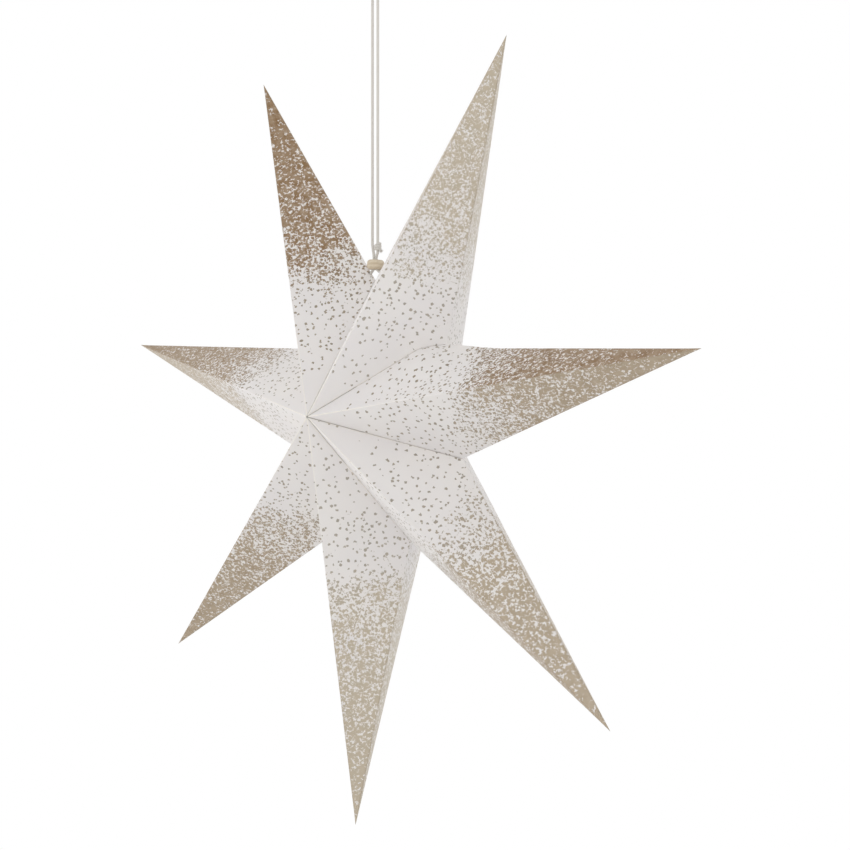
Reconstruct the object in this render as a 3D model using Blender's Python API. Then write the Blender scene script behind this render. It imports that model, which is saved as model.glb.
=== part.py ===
"""A folded card star lantern with seven points, hung on a cord loop, and the lamp inside it.

Metres, +Z up. The origin is the inside of the cord loop's top, where a hook carries the lantern.
The star faces -Y. Its two end points meet at the closing seam, straight below the cord.
"""

import math

import bmesh
import bpy
from mathutils import Matrix, Vector

# Star of folded card
POINT_COUNT = 7
TIP_RADIUS = 0.300
FRONT_DEPTH = 0.058
BACK_DEPTH = 0.092
FRONT_RISE = 0.006
VALLEY_RADIUS = 0.093
VALLEY_SETBACK = 0.010
CLOSING_RADIUS = 0.1095
CARD = 0.0004
FOLD_DEGREES = 5
STAR_ROLL_DEGREES = 2.1
TIP_TURN_DEGREES = (0, -2, 0, 0, 2, 1, 0)

# Glue tabs along the seams
TAB_WIDTH = 0.008
TAB_REACH_SHARE = 0.72

# Punched hole in each end point, and the height of its middle above the closing corner
HOLE_RADIUS = 0.0025
HOLE_RISE = 0.0045

# Clearance between pieces that touch, and how far a cutter runs past what it cuts
CLEARANCE = 0.0003
OVERRUN = 0.001

# Hanging cord
CORD_RADIUS = 0.0011
PIVOT_DROP = 0.2225
STRAND_SPREAD = 0.0029
SPREAD_LENGTH = 0.009
PINCH_LIFT = 0.0005
SPREAD_LIFT = 0.003
CORD_STEP = 0.0066
BIGHT_HALF_WIDTH = 0.0048
BIGHT_TAPER = 0.014
TAPER_STEPS = 4
LOOP_HALF_WIDTH = 0.0086
LOOP_DEPTH = 0.0175
LOOP_OUT_STEPS = 5
LOOP_BACK_STEPS = 6
LOOP_LOW_STEPS = 9
BEND_STEPS = 8
PINCH_STEPS = 9
LEAD_STEPS = 6
KNOT_HEIGHT = 0.0066
KNOT_DROP = 0.0098
KNOT_TAIL = 0.0042
KNOT_WRAP_RADIUS = 0.0018
KNOT_WRAP_TILT_DEGREES = 24
KNOT_WRAPS = 3
KNOT_ROUND_STEPS = 10
TAIL_DIRECTION = (1, -0.2, -0.8)

# Wooden bead that closes the seam
BEAD_RADIUS = 0.0065
BEAD_HEIGHT = 0.0074
BEAD_BORE_RADIUS = 0.0036
BEAD_ROUND = 0.0016
BEAD_MOUTH = 0.0012
BEAD_ARC_STEPS = 6

# Wire bail that carries the lamp holder
WIRE_RADIUS = 0.0008
BAIL_HEIGHT = 0.0325
BAIL_NECK = 0.003
BAIL_SHOULDER = 0.008
BAIL_BEND = 0.0022
BAIL_PIN_BEND = 0.0012
BAIL_ARCH_STEPS = 10

# Lamp holder
CAP_RADIUS = 0.014
CAP_HEIGHT = 0.022
CAP_ROUND = 0.005
EAR_DEPTH = 0.008
HOLDER_WALL = 0.0018
SPIGOT_LENGTH = 0.008
SKIRT_LENGTH = 0.030
SKIRT_ROUND = 0.0012
BLOCK_HEIGHT = 0.012
LEDGE_WIDTH = 0.0012
GLAND_RADIUS = 0.0055
GLAND_HEIGHT = 0.011
GLAND_FLANGE_RADIUS = 0.0068
GLAND_FLANGE = 0.0025
CABLE_BORE_RADIUS = 0.0031
GLAND_SPIGOT = 0.0045
GRIP_COUNT = 12
GRIP_DEPTH = 0.0005
WIRE_HOLE_RADIUS = 0.0016
WIRE_HOLE_SPREAD = 0.0065
SLEEVE_RADIUS = 0.0079
SLEEVE_WALL = 0.0004
SLEEVE_LENGTH = 0.018
THREAD_PITCH = 0.0028
THREAD_DEPTH = 0.00035
CONTACT_RADIUS = 0.0024
CONTACT_DROP = 0.003
TERMINAL_RADIUS = 0.0021
TERMINAL_HEIGHT = 0.0018
TERMINAL_SPREAD = 0.0058
TERMINAL_SLOT = 0.0006

# Bulb
BULB_CONTACT_RADIUS = 0.0024
BULB_CONTACT_HEIGHT = 0.0014
INSULATOR_HEIGHT = 0.0024
BULB_CAP_RADIUS = 0.0068
BULB_CAP_LENGTH = 0.0152
BULB_CAP_WALL = 0.0004
BULB_BASE_LENGTH = 0.021
BULB_BASE_RADIUS = 0.0165
BULB_BASE_RIM = 0.0035
BULB_BASE_WALL = 0.0012
GLOBE_RADIUS = 0.0225
GLOBE_WALL = 0.001
GLOBE_LIP = 0.0015
BOARD_THICKNESS = 0.0016
EMITTER_SIZE = 0.0028
EMITTER_HEIGHT = 0.0009
EMITTER_COUNT = 6
EMITTER_CIRCLE_RADIUS = 0.0085

# How round the turned pieces are
TURN_STEPS = 28
SMALL_TURN_STEPS = 20
ARC_STEPS = 4


def clear_scene():
    for thing in list(bpy.data.objects):
        bpy.data.objects.remove(thing, do_unlink=True)


# Materials
def finish(name, colour, roughness, metallic=0.0):
    made = bpy.data.materials.new(name)
    made.use_nodes = True
    shader = made.node_tree.nodes["Principled BSDF"]
    shader.inputs["Base Color"].default_value = (*colour, 1.0)
    shader.inputs["Roughness"].default_value = roughness
    shader.inputs["Metallic"].default_value = metallic
    made.diffuse_color = (*colour, 1.0)
    return made


def printed_card(name):
    return finish(name, (0.80, 0.76, 0.70), 0.72)


def cotton(name):
    return finish(name, (0.78, 0.76, 0.72), 0.9)


def pale_wood(name):
    return finish(name, (0.72, 0.55, 0.36), 0.6)


def white_plastic(name):
    return finish(name, (0.82, 0.82, 0.80), 0.42)


def black_glass(name):
    return finish(name, (0.02, 0.02, 0.02), 0.2)


def opal_plastic(name):
    return finish(name, (0.90, 0.90, 0.87), 0.3)


def steel(name):
    return finish(name, (0.62, 0.62, 0.62), 0.3, 1.0)


def brass(name):
    return finish(name, (0.72, 0.55, 0.25), 0.32, 1.0)


def nickel(name):
    return finish(name, (0.66, 0.64, 0.60), 0.28, 1.0)


def board_white(name):
    return finish(name, (0.80, 0.82, 0.80), 0.5)


# Places on the star, in its own frame: X right, Z up, the front towards -Y
def around_star(radius, degrees, depth):
    angle = math.radians(degrees)
    return Vector((radius * math.cos(angle), depth, radius * math.sin(angle)))


def star_front():
    return Vector((0, -FRONT_DEPTH, FRONT_RISE))


def star_back():
    return Vector((0, BACK_DEPTH, 0))


def seam_corner(index):
    """Outer corner of a seam. Seam 0 is the closing seam, which hangs upright. The rest go clockwise."""
    if index % POINT_COUNT == 0:
        return around_star(CLOSING_RADIUS, 90, VALLEY_SETBACK)
    degrees = 90 - STAR_ROLL_DEGREES - index * 360 / POINT_COUNT
    return around_star(VALLEY_RADIUS, degrees, VALLEY_SETBACK)


def seam_normal(index):
    """Across a seam's plane, pointing clockwise."""
    along = star_back() - star_front()
    return along.cross(seam_corner(index) - star_front()).normalized()


def tip_place(index):
    turn = TIP_TURN_DEGREES[index % len(TIP_TURN_DEGREES)] - STAR_ROLL_DEGREES
    return around_star(TIP_RADIUS, 90 - (index + 0.5) * 360 / POINT_COUNT + turn, 0)


def point_corners(index):
    """Tip, front and back centre corners, and the two seam corners, held off the seams' planes."""
    half = CLEARANCE / 2
    left_in = seam_normal(index)
    right_in = -seam_normal(index + 1)
    centre_in = half * (left_in + right_in) / (1 + left_in.dot(right_in))
    return {
        "tip": tip_place(index),
        "front": star_front() + centre_in,
        "back": star_back() + centre_in,
        "left": seam_corner(index) + half * left_in,
        "right": seam_corner(index + 1) + half * right_in,
    }


def closing_crease(index):
    """Corner and outward direction of an end point's side crease beside the closing seam."""
    corners = point_corners(index)
    corner = corners["left"] if index == 0 else corners["right"]
    return corner, (corners["tip"] - corner).normalized()


def cord_rise():
    """Height of the cord above the closing corner: it carries the upper edge of both holes."""
    return HOLE_RISE + HOLE_RADIUS - CORD_RADIUS - CLEARANCE


def cord_crossing(index):
    """Where the cord passes through an end point, in the star's frame."""
    corner, crease = closing_crease(index)
    return corner + crease * cord_rise() / crease.z


def pivot_in_star():
    """Middle of the line through both holes on which the star hangs, in the star's frame."""
    middle = (cord_crossing(0) + cord_crossing(POINT_COUNT - 1)) / 2
    return Vector((0, middle.y, middle.z))


def pivot_place():
    return Vector((0, 0, -PIVOT_DROP))


def bead_axis():
    """The bead leans into the middle of the V between the two creases that carry it."""
    return (closing_crease(0)[1] + closing_crease(POINT_COUNT - 1)[1]).normalized()


def bead_tilt():
    axis = bead_axis()
    return math.atan2(axis.x, axis.z)


def bead_bottom():
    """Height at which the bead's rounded lower edge rests on both creases."""
    half_opening = closing_crease(0)[1].angle(bead_axis())
    round_centre = BEAD_RADIUS - BEAD_ROUND
    reach = BEAD_ROUND + CLEARANCE + round_centre * math.cos(half_opening)
    return -PIVOT_DROP - cord_rise() + reach / math.sin(half_opening) - BEAD_ROUND


def cord_split():
    """Height inside the bead where the upper strands end and the closing loop begins."""
    return bead_bottom() + BEAD_HEIGHT / 2


def loop_bottom():
    return -PIVOT_DROP - LOOP_DEPTH


def ear_height():
    return loop_bottom() - BAIL_HEIGHT


def cap_top():
    return ear_height() + EAR_DEPTH


def cap_rim():
    return cap_top() - CAP_HEIGHT


def cap_inner_radius():
    return CAP_RADIUS - HOLDER_WALL


def spigot_radius():
    return cap_inner_radius() - CLEARANCE


def block_radius():
    return spigot_radius() - HOLDER_WALL - CLEARANCE


def block_bottom():
    return cap_rim() + SPIGOT_LENGTH - BLOCK_HEIGHT


def sleeve_top():
    return block_bottom() - CLEARANCE


def skirt_bottom():
    return cap_rim() - CLEARANCE - SKIRT_LENGTH


def bulb_top():
    return sleeve_top() - CONTACT_DROP - CLEARANCE


def insulator_top():
    return bulb_top() - BULB_CONTACT_HEIGHT - CLEARANCE


def bulb_cap_top():
    return insulator_top() - INSULATOR_HEIGHT - CLEARANCE


def bulb_base_top():
    return bulb_cap_top() - BULB_CAP_LENGTH - CLEARANCE


def lip_radius():
    return BULB_BASE_RADIUS - BULB_BASE_WALL - CLEARANCE


def board_radius():
    return lip_radius() - GLOBE_WALL - CLEARANCE


def globe_top():
    return bulb_base_top() - BULB_BASE_LENGTH - CLEARANCE


# Objects and shared shapes
def link(thing, material, parent):
    bpy.context.scene.collection.objects.link(thing)
    thing.data.materials.append(material)
    if parent:
        thing.parent = parent
    return thing


def empty_at(name, place, parent=None):
    thing = bpy.data.objects.new(name, None)
    bpy.context.scene.collection.objects.link(thing)
    thing.location = place
    thing.parent = parent
    thing.empty_display_size = CAP_RADIUS
    return thing


def mesh_object(name, shape, material, parent, place, smooth_degrees=30):
    mesh = bpy.data.meshes.new(name)
    shape.to_mesh(mesh)
    shape.free()
    mesh.shade_smooth()
    mesh.set_sharp_from_angle(angle=math.radians(smooth_degrees))
    thing = link(bpy.data.objects.new(name, mesh), material, parent)
    thing.location = place
    return thing


def rounded_outline(corners, steps=ARC_STEPS):
    """Outline through (x, y, radius) corners, with an arc in place of each that has a radius."""
    outline = []
    count = len(corners)
    for index, (x, y, radius) in enumerate(corners):
        here = Vector((x, y))
        if radius <= 0 or index in (0, count - 1):
            outline.append(here)
            continue
        before = (Vector(corners[index - 1][:2]) - here).normalized()
        after = (Vector(corners[index + 1][:2]) - here).normalized()
        half_angle = before.angle(after) / 2
        centre = here + (before + after).normalized() * radius / math.sin(half_angle)
        start = here + before * radius / math.tan(half_angle) - centre
        end = here + after * radius / math.tan(half_angle) - centre
        sweep = start.angle_signed(end)
        for step in range(steps + 1):
            turn = Matrix.Rotation(-sweep * step / steps, 2)
            outline.append(centre + turn @ start)
    return outline


def turned(outline, steps=TURN_STEPS, ring=False):
    """Solid of revolution about Z from (radius, height) points. A ring's outline closes on itself."""
    shape = bmesh.new()
    columns = []
    for radius, height in outline:
        if radius <= 0:
            columns.append([shape.verts.new((0, 0, height))] * steps)
            continue
        column = []
        for step in range(steps):
            angle = 2 * math.pi * step / steps
            column.append(shape.verts.new((radius * math.cos(angle), radius * math.sin(angle), height)))
        columns.append(column)
    pairs = list(zip(columns, columns[1:]))
    if ring:
        pairs.append((columns[-1], columns[0]))
    for low, high in pairs:
        for step in range(steps):
            after = (step + 1) % steps
            corners = []
            for vert in (low[step], low[after], high[after], high[step]):
                if vert not in corners:
                    corners.append(vert)
            if len(corners) > 2:
                shape.faces.new(corners)
    bmesh.ops.recalc_face_normals(shape, faces=shape.faces)
    return shape


def cylinder(radius, length, axis, centre, steps=SMALL_TURN_STEPS):
    shape = bmesh.new()
    turn = Vector((0, 0, 1)).rotation_difference(axis).to_matrix().to_4x4()
    quarter_step = Matrix.Rotation(math.pi / 2 / steps, 4, "Z")
    place = Matrix.Translation(centre) @ turn @ quarter_step
    bmesh.ops.create_cone(
        shape,
        cap_ends=True,
        segments=steps,
        radius1=radius,
        radius2=radius,
        depth=length,
        matrix=place,
    )
    return shape


def cutter(name, shape, parent, place):
    mesh = bpy.data.meshes.new(name)
    shape.to_mesh(mesh)
    shape.free()
    thing = bpy.data.objects.new(name, mesh)
    bpy.context.scene.collection.objects.link(thing)
    thing.parent = parent
    thing.location = place
    thing.hide_render = True
    thing.display_type = "WIRE"
    return thing


def combine(thing, other, operation):
    change = thing.modifiers.new(other.name, "BOOLEAN")
    change.operation = operation
    change.object = other
    change.solver = "EXACT"


def smooth_route(points, steps):
    """Points at even parameter steps on a Catmull-Rom curve through the given points."""
    ends = [2 * points[0] - points[1], *points, 2 * points[-1] - points[-2]]
    spans = len(points) - 1
    route = []
    for step in range(steps + 1):
        along = min(spans * step / steps, spans - 1e-9)
        span = int(along)
        t = along - span
        a, b, c, d = ends[span : span + 4]
        square = (2 * a - 5 * b + 4 * c - d) * t**2
        cube = (3 * b - a - 3 * c + d) * t**3
        route.append(b + (c - a) * t / 2 + square / 2 + cube / 2)
    return route


def tube(name, route, radius, material, parent, place, resolution=2):
    data = bpy.data.curves.new(name, "CURVE")
    data.dimensions = "3D"
    data.bevel_depth = radius
    data.bevel_resolution = resolution
    data.use_fill_caps = True
    spline = data.splines.new("POLY")
    spline.points.add(len(route) - 1)
    for point, spot in zip(spline.points, route):
        point.co = (*spot, 1)
    thing = link(bpy.data.objects.new(name, data), material, parent)
    thing.location = place
    return thing


# Card points
def tab_outline(corner, front, back):
    """Glue tab folded inward along both edges of a seam, from near the front to near the back."""
    to_front = (front - corner).normalized()
    to_back = (back - corner).normalized()
    opening = to_front.angle(to_back)
    front_reach = TAB_REACH_SHARE * (front - corner).length
    back_reach = TAB_REACH_SHARE * (back - corner).length
    front_in = (to_back - to_front * to_front.dot(to_back)).normalized()
    back_in = (to_front - to_back * to_back.dot(to_front)).normalized()
    return {
        "front_fold": corner + to_front * front_reach,
        "front_free": corner + to_front * (front_reach - TAB_WIDTH) + front_in * TAB_WIDTH,
        "inner": corner + (to_front + to_back) * TAB_WIDTH / math.sin(opening),
        "back_free": corner + to_back * (back_reach - TAB_WIDTH) + back_in * TAB_WIDTH,
        "back_fold": corner + to_back * back_reach,
    }


def card_sheet(index):
    """Outer surface of one folded point: two front facets, two back facets and its glue tabs."""
    corners = point_corners(index)
    sheet = bmesh.new()
    tip, front, back = (sheet.verts.new(corners[name]) for name in ("tip", "front", "back"))
    for side, seam in (("left", index), ("right", index + 1)):
        corner = sheet.verts.new(corners[side])
        if seam % POINT_COUNT == 0:
            sheet.faces.new((tip, front, corner))
            sheet.faces.new((tip, corner, back))
            continue
        tab = {
            name: sheet.verts.new(spot)
            for name, spot in tab_outline(corners[side], corners["front"], corners["back"]).items()
        }
        sheet.faces.new((tip, front, tab["front_fold"], corner))
        sheet.faces.new((tip, corner, tab["back_fold"], back))
        sheet.faces.new(
            (
                corner,
                tab["front_fold"],
                tab["front_free"],
                tab["inner"],
                tab["back_free"],
                tab["back_fold"],
            )
        )
    bmesh.ops.recalc_face_normals(sheet, faces=sheet.faces)
    inside = (corners["left"] + corners["right"]) / 2
    sheet.faces.ensure_lookup_table()
    facet = sheet.faces[0]
    if facet.normal.dot(facet.calc_center_median() - inside) < 0:
        bmesh.ops.reverse_faces(sheet, faces=sheet.faces)
    return sheet


def star_point(index, pivot):
    name = f"point_{index + 1}"
    thing = mesh_object(name, card_sheet(index), printed_card(name), pivot, -pivot_in_star(), FOLD_DEGREES)
    card = thing.modifiers.new("card", "SOLIDIFY")
    card.solidify_mode = "NON_MANIFOLD"
    card.nonmanifold_thickness_mode = "CONSTRAINTS"
    card.thickness = CARD
    card.offset = -1
    return thing


def punch_hole(thing, index, pivot):
    """Level hole across the side crease, beside the closing corner."""
    corner, crease = closing_crease(index)
    centre = corner + crease * HOLE_RISE / crease.z
    length = 2 * (HOLE_RISE + HOLE_RADIUS + OVERRUN)
    hole = cylinder(HOLE_RADIUS, length, Vector((1, 0, 0)), centre)
    punch = cutter(f"hole_punch_{index + 1}", hole, pivot, -pivot_in_star())
    combine(thing, punch, "DIFFERENCE")


def make_star(pivot):
    for index in range(POINT_COUNT):
        thing = star_point(index, pivot)
        if index in (0, POINT_COUNT - 1):
            punch_hole(thing, index, pivot)


# Cord, knot and bead
def strand_pinch():
    """Half the distance between the two strands where they lie side by side in the bead."""
    return CORD_RADIUS + CLEARANCE / 2


def bead_top():
    return bead_bottom() + BEAD_HEIGHT


def knot_middle():
    return bead_top() + KNOT_DROP


def bight():
    """The cord's bend over the hook, and the tapers on both sides down to the parallel strands."""
    bend_middle = CORD_RADIUS - BIGHT_HALF_WIDTH
    rise = []
    for step in range(TAPER_STEPS):
        share = step / TAPER_STEPS
        widened = (1 - math.cos(math.pi * share)) / 2
        across = STRAND_SPREAD + (BIGHT_HALF_WIDTH - STRAND_SPREAD) * widened
        rise.append(Vector((across, 0, bend_middle - BIGHT_TAPER * (1 - share))))
    bend = []
    for step in range(BEND_STEPS + 1):
        angle = math.pi * step / BEND_STEPS
        height = bend_middle + BIGHT_HALF_WIDTH * math.sin(angle)
        bend.append(Vector((BIGHT_HALF_WIDTH * math.cos(angle), 0, height)))
    return rise + bend + [Vector((-spot.x, 0, spot.z)) for spot in reversed(rise)]


def hanging_route():
    """Up from the knot, over the hook's place and down the other strand into the bead."""
    over_hook = bight()
    knot_top = Vector((STRAND_SPREAD, 0, knot_middle() + KNOT_HEIGHT / 2 + CLEARANCE))
    pinched_from = bead_top() + SPREAD_LIFT
    spread_from = pinched_from + SPREAD_LENGTH
    straight_end = Vector((-STRAND_SPREAD, 0, spread_from))
    up_steps = max(2, round((over_hook[0] - knot_top).length / CORD_STEP))
    down_steps = max(2, round((over_hook[-1] - straight_end).length / CORD_STEP))
    rise = [knot_top.lerp(over_hook[0], step / up_steps) for step in range(up_steps)]
    fall = [over_hook[-1].lerp(straight_end, step / down_steps) for step in range(1, down_steps)]
    pinch = [
        straight_end,
        Vector((-(STRAND_SPREAD + strand_pinch()) / 2, 0, (spread_from + pinched_from) / 2)),
        Vector((-strand_pinch(), 0, pinched_from)),
        Vector((-strand_pinch(), 0, cord_split() + CLEARANCE / 2)),
    ]
    return rise + over_hook + fall + smooth_route(pinch, PINCH_STEPS)


def leaning_arc(start_across, end_across, drop):
    """Lean and radius of the arc that sets off upright and moves sideways over a drop."""
    lean = 2 * math.atan(abs(end_across - start_across) / drop)
    return lean, drop / math.sin(lean)


def lead_route():
    """Short run of the other strand, slanting from the knot down into the bead."""
    start = knot_middle() - KNOT_HEIGHT / 2 - CLEARANCE - CORD_RADIUS
    upright_from = bead_top() + PINCH_LIFT
    lean, radius = leaning_arc(strand_pinch(), STRAND_SPREAD, start - upright_from)
    route = []
    for step in range(LEAD_STEPS + 1):
        angle = lean * (1 - step / LEAD_STEPS)
        across = strand_pinch() + radius * (1 - math.cos(angle))
        route.append(Vector((across, 0, upright_from + radius * math.sin(angle))))
    return [*route, Vector((strand_pinch(), 0, cord_split() + CLEARANCE / 2))]


def closing_side(index):
    """Half of the closing loop: from the bead out to its hole, on to its widest place and in below."""
    start = cord_split() - CLEARANCE / 2
    crossing = abs(cord_crossing(index).x)
    lean, out_radius = leaning_arc(strand_pinch(), crossing, start + PIVOT_DROP)
    back_radius = (LOOP_HALF_WIDTH - crossing) / (1 - math.cos(lean))
    widest = -PIVOT_DROP - back_radius * math.sin(lean)
    half = []
    for step in range(LOOP_OUT_STEPS):
        angle = lean * step / LOOP_OUT_STEPS
        across = strand_pinch() + out_radius * (1 - math.cos(angle))
        half.append((across, start - out_radius * math.sin(angle)))
    for step in range(LOOP_BACK_STEPS):
        angle = lean * (1 - step / LOOP_BACK_STEPS)
        across = LOOP_HALF_WIDTH - back_radius * (1 - math.cos(angle))
        half.append((across, widest + back_radius * math.sin(angle)))
    for step in range(LOOP_LOW_STEPS):
        angle = math.pi / 2 * step / LOOP_LOW_STEPS
        depth = (widest - loop_bottom()) * math.sin(angle)
        half.append((LOOP_HALF_WIDTH * math.cos(angle), widest - depth))
    return half


def closing_route():
    """Out of the bead, through one end point, below the corner and back through the other."""
    left = [Vector((-x, 0, z)) for x, z in closing_side(POINT_COUNT - 1)]
    right = [Vector((x, 0, z)) for x, z in closing_side(0)]
    return [*left, Vector((0, 0, loop_bottom())), *reversed(right)]


def make_knot(parent):
    """Overhand knot: tilted wraps round the strand, and the short cut end below them."""
    middle = Vector((0, 0, 0))
    core = cylinder(CORD_RADIUS, KNOT_HEIGHT, Vector((0, 0, 1)), middle)
    place = Vector((STRAND_SPREAD, 0, knot_middle()))
    knot = mesh_object("cord_knot", core, cotton("cord_knot"), parent, place, 60)
    spacing = (KNOT_HEIGHT - 2 * CORD_RADIUS) / KNOT_WRAPS
    for index in range(KNOT_WRAPS):
        height = spacing * (index - (KNOT_WRAPS - 1) / 2)
        tilt = math.radians(KNOT_WRAP_TILT_DEGREES) * (-1) ** index
        outline = []
        for step in range(KNOT_ROUND_STEPS):
            angle = 2 * math.pi * step / KNOT_ROUND_STEPS
            across = KNOT_WRAP_RADIUS + CORD_RADIUS * math.cos(angle)
            outline.append((across, CORD_RADIUS * math.sin(angle)))
        wrap = turned(outline, SMALL_TURN_STEPS, ring=True)
        bmesh.ops.rotate(wrap, verts=wrap.verts, matrix=Matrix.Rotation(tilt, 3, "Y"))
        bmesh.ops.translate(wrap, verts=wrap.verts, vec=Vector((0, 0, height)))
        combine(knot, cutter(f"knot_wrap_{index + 1}", wrap, parent, place), "UNION")
    slant = Vector(TAIL_DIRECTION).normalized()
    tail = cylinder(CORD_RADIUS, KNOT_TAIL, slant, slant * (KNOT_WRAP_RADIUS + KNOT_TAIL / 2))
    combine(knot, cutter("knot_tail", tail, parent, place), "UNION")
    return knot


def make_bead(parent):
    top = BEAD_HEIGHT
    outline = rounded_outline(
        [
            (BEAD_BORE_RADIUS + BEAD_MOUTH, 0, 0),
            (BEAD_RADIUS, 0, BEAD_ROUND),
            (BEAD_RADIUS, top, BEAD_ROUND),
            (BEAD_BORE_RADIUS + BEAD_MOUTH, top, 0),
            (BEAD_BORE_RADIUS, top - BEAD_MOUTH, 0),
            (BEAD_BORE_RADIUS, BEAD_MOUTH, 0),
        ],
        BEAD_ARC_STEPS,
    )
    corner = Vector((0, 0, -PIVOT_DROP - cord_rise()))
    lift = (bead_bottom() - corner.z) * bead_axis()
    shape = turned(outline, TURN_STEPS, ring=True)
    bead = mesh_object("cord_bead", shape, pale_wood("cord_bead"), parent, corner + lift - parent.location)
    bead.rotation_euler.y = bead_tilt()
    return bead


# Lamp
def make_bail(parent):
    """Wire bail: an arch over the cord, two legs that spread, and a pin into each side of the cap."""
    arch = CORD_RADIUS + CLEARANCE + WIRE_RADIUS
    leg = CAP_RADIUS + BAIL_PIN_BEND
    pin_end = cap_inner_radius()
    half = [
        (pin_end, -BAIL_HEIGHT, 0),
        (leg, -BAIL_HEIGHT, BAIL_PIN_BEND),
        (leg, -BAIL_HEIGHT + BAIL_SHOULDER, BAIL_BEND),
        (arch, -BAIL_NECK, BAIL_BEND),
        (arch, 0, 0),
    ]
    rise = [Vector((0, -y, z)) for y, z in rounded_outline(half)]
    over = []
    for step in range(1, BAIL_ARCH_STEPS):
        angle = math.pi * step / BAIL_ARCH_STEPS
        over.append(Vector((0, -arch * math.cos(angle), arch * math.sin(angle))))
    fall = [Vector((0, -spot.y, spot.z)) for spot in reversed(rise)]
    return tube("lamp_bail", rise + over + fall, WIRE_RADIUS, steel("lamp_bail"), parent, (0, 0, 0))


def make_holder_cap(parent):
    inner = cap_inner_radius()
    top = EAR_DEPTH
    rim = top - CAP_HEIGHT
    gland_bore = CABLE_BORE_RADIUS + HOLDER_WALL + CLEARANCE
    outline = rounded_outline(
        [
            (inner, rim, 0),
            (CAP_RADIUS, rim, 0),
            (CAP_RADIUS, top, CAP_ROUND),
            (gland_bore, top, 0),
            (gland_bore, top - HOLDER_WALL, 0),
            (inner, top - HOLDER_WALL, CAP_ROUND - HOLDER_WALL),
            (inner, rim, 0),
        ]
    )
    shape = turned(outline[:-1], TURN_STEPS, ring=True)
    cap = mesh_object("holder_cap", shape, white_plastic("holder_cap"), parent, (0, 0, 0))
    through = 2 * (CAP_RADIUS + OVERRUN)
    pins = cylinder(WIRE_RADIUS + CLEARANCE, through, Vector((0, 1, 0)), Vector((0, 0, 0)))
    combine(cap, cutter("bail_pin_bore", pins, parent, (0, 0, 0)), "DIFFERENCE")
    return cap


def make_gland(parent):
    """Cable gland in the cap's top: a ribbed collar on a flange, with a spigot through the cap."""
    seat = EAR_DEPTH + CLEARANCE
    spigot = CABLE_BORE_RADIUS + HOLDER_WALL
    outline = rounded_outline(
        [
            (CABLE_BORE_RADIUS, seat - GLAND_SPIGOT, 0),
            (spigot, seat - GLAND_SPIGOT, 0),
            (spigot, seat, 0),
            (GLAND_FLANGE_RADIUS, seat, 0),
            (GLAND_FLANGE_RADIUS, seat + GLAND_FLANGE, GLAND_FLANGE / 3),
            (GLAND_RADIUS, seat + GLAND_FLANGE, 0),
            (GLAND_RADIUS, seat + GLAND_HEIGHT, GLAND_FLANGE / 2),
            (CABLE_BORE_RADIUS, seat + GLAND_HEIGHT, 0),
        ],
        3,
    )
    shape = turned(outline, GRIP_COUNT * 4, ring=True)
    for vert in shape.verts:
        radius = math.hypot(vert.co.x, vert.co.y)
        on_collar = vert.co.z > seat + GLAND_FLANGE + GRIP_DEPTH and radius > GLAND_RADIUS - GRIP_DEPTH
        if on_collar and vert.co.z < seat + GLAND_HEIGHT - GRIP_DEPTH:
            angle = math.atan2(vert.co.y, vert.co.x)
            share = 1 - GRIP_DEPTH * (1 - math.cos(GRIP_COUNT * angle)) / 2 / radius
            vert.co.x *= share
            vert.co.y *= share
    return mesh_object("cable_gland", shape, white_plastic("cable_gland"), parent, (0, 0, 0))


def make_holder_body(parent):
    """Skirt below the cap, and the spigot that screws into it."""
    ear = ear_height()
    spigot_top = cap_rim() + SPIGOT_LENGTH - ear
    shoulder = cap_rim() - CLEARANCE - ear
    bottom = skirt_bottom() - ear
    ledge = block_bottom() - CLEARANCE - ear
    bore = spigot_radius() - HOLDER_WALL
    outline = rounded_outline(
        [
            (bore - LEDGE_WIDTH, bottom, 0),
            (CAP_RADIUS, bottom, SKIRT_ROUND),
            (CAP_RADIUS, shoulder, SKIRT_ROUND / 2),
            (spigot_radius(), shoulder, 0),
            (spigot_radius(), spigot_top, 0),
            (bore, spigot_top, 0),
            (bore, ledge, 0),
            (bore - LEDGE_WIDTH, ledge, 0),
        ]
    )
    shape = turned(outline, TURN_STEPS, ring=True)
    return mesh_object("holder_body", shape, white_plastic("holder_body"), parent, (0, 0, 0))


def make_contact_block(parent):
    """Insulating block that carries the contacts, with two holes for the wires."""
    low = block_bottom() - ear_height()
    outline = rounded_outline(
        [
            (0, low, 0),
            (block_radius(), low, 0),
            (block_radius(), low + BLOCK_HEIGHT, SKIRT_ROUND / 2),
            (0, low + BLOCK_HEIGHT, 0),
        ]
    )
    shape = turned(outline, TURN_STEPS)
    block = mesh_object("contact_block", shape, white_plastic("contact_block"), parent, (0, 0, 0))
    middle = low + BLOCK_HEIGHT / 2
    for side in (-1, 1):
        spot = Vector((0, side * WIRE_HOLE_SPREAD, middle))
        bore = cylinder(WIRE_HOLE_RADIUS, BLOCK_HEIGHT + 2 * OVERRUN, Vector((0, 0, 1)), spot)
        name = f"wire_bore_{'front' if side < 0 else 'back'}"
        combine(block, cutter(name, bore, parent, (0, 0, 0)), "DIFFERENCE")
    return block


def threaded_outline(radius, top, length, wall):
    """Wall of a rolled metal screw shell: its outside and inside wave together."""
    turns = max(1, round(length / THREAD_PITCH))
    steps = 2 * turns
    outside = []
    inside = []
    for step in range(steps + 1):
        wave = THREAD_DEPTH * (1 - math.cos(2 * math.pi * turns * step / steps)) / 2
        height = top - length * step / steps
        outside.append((radius - wave, height))
        inside.append((radius - wave - wall, height))
    return outside, inside


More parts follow.
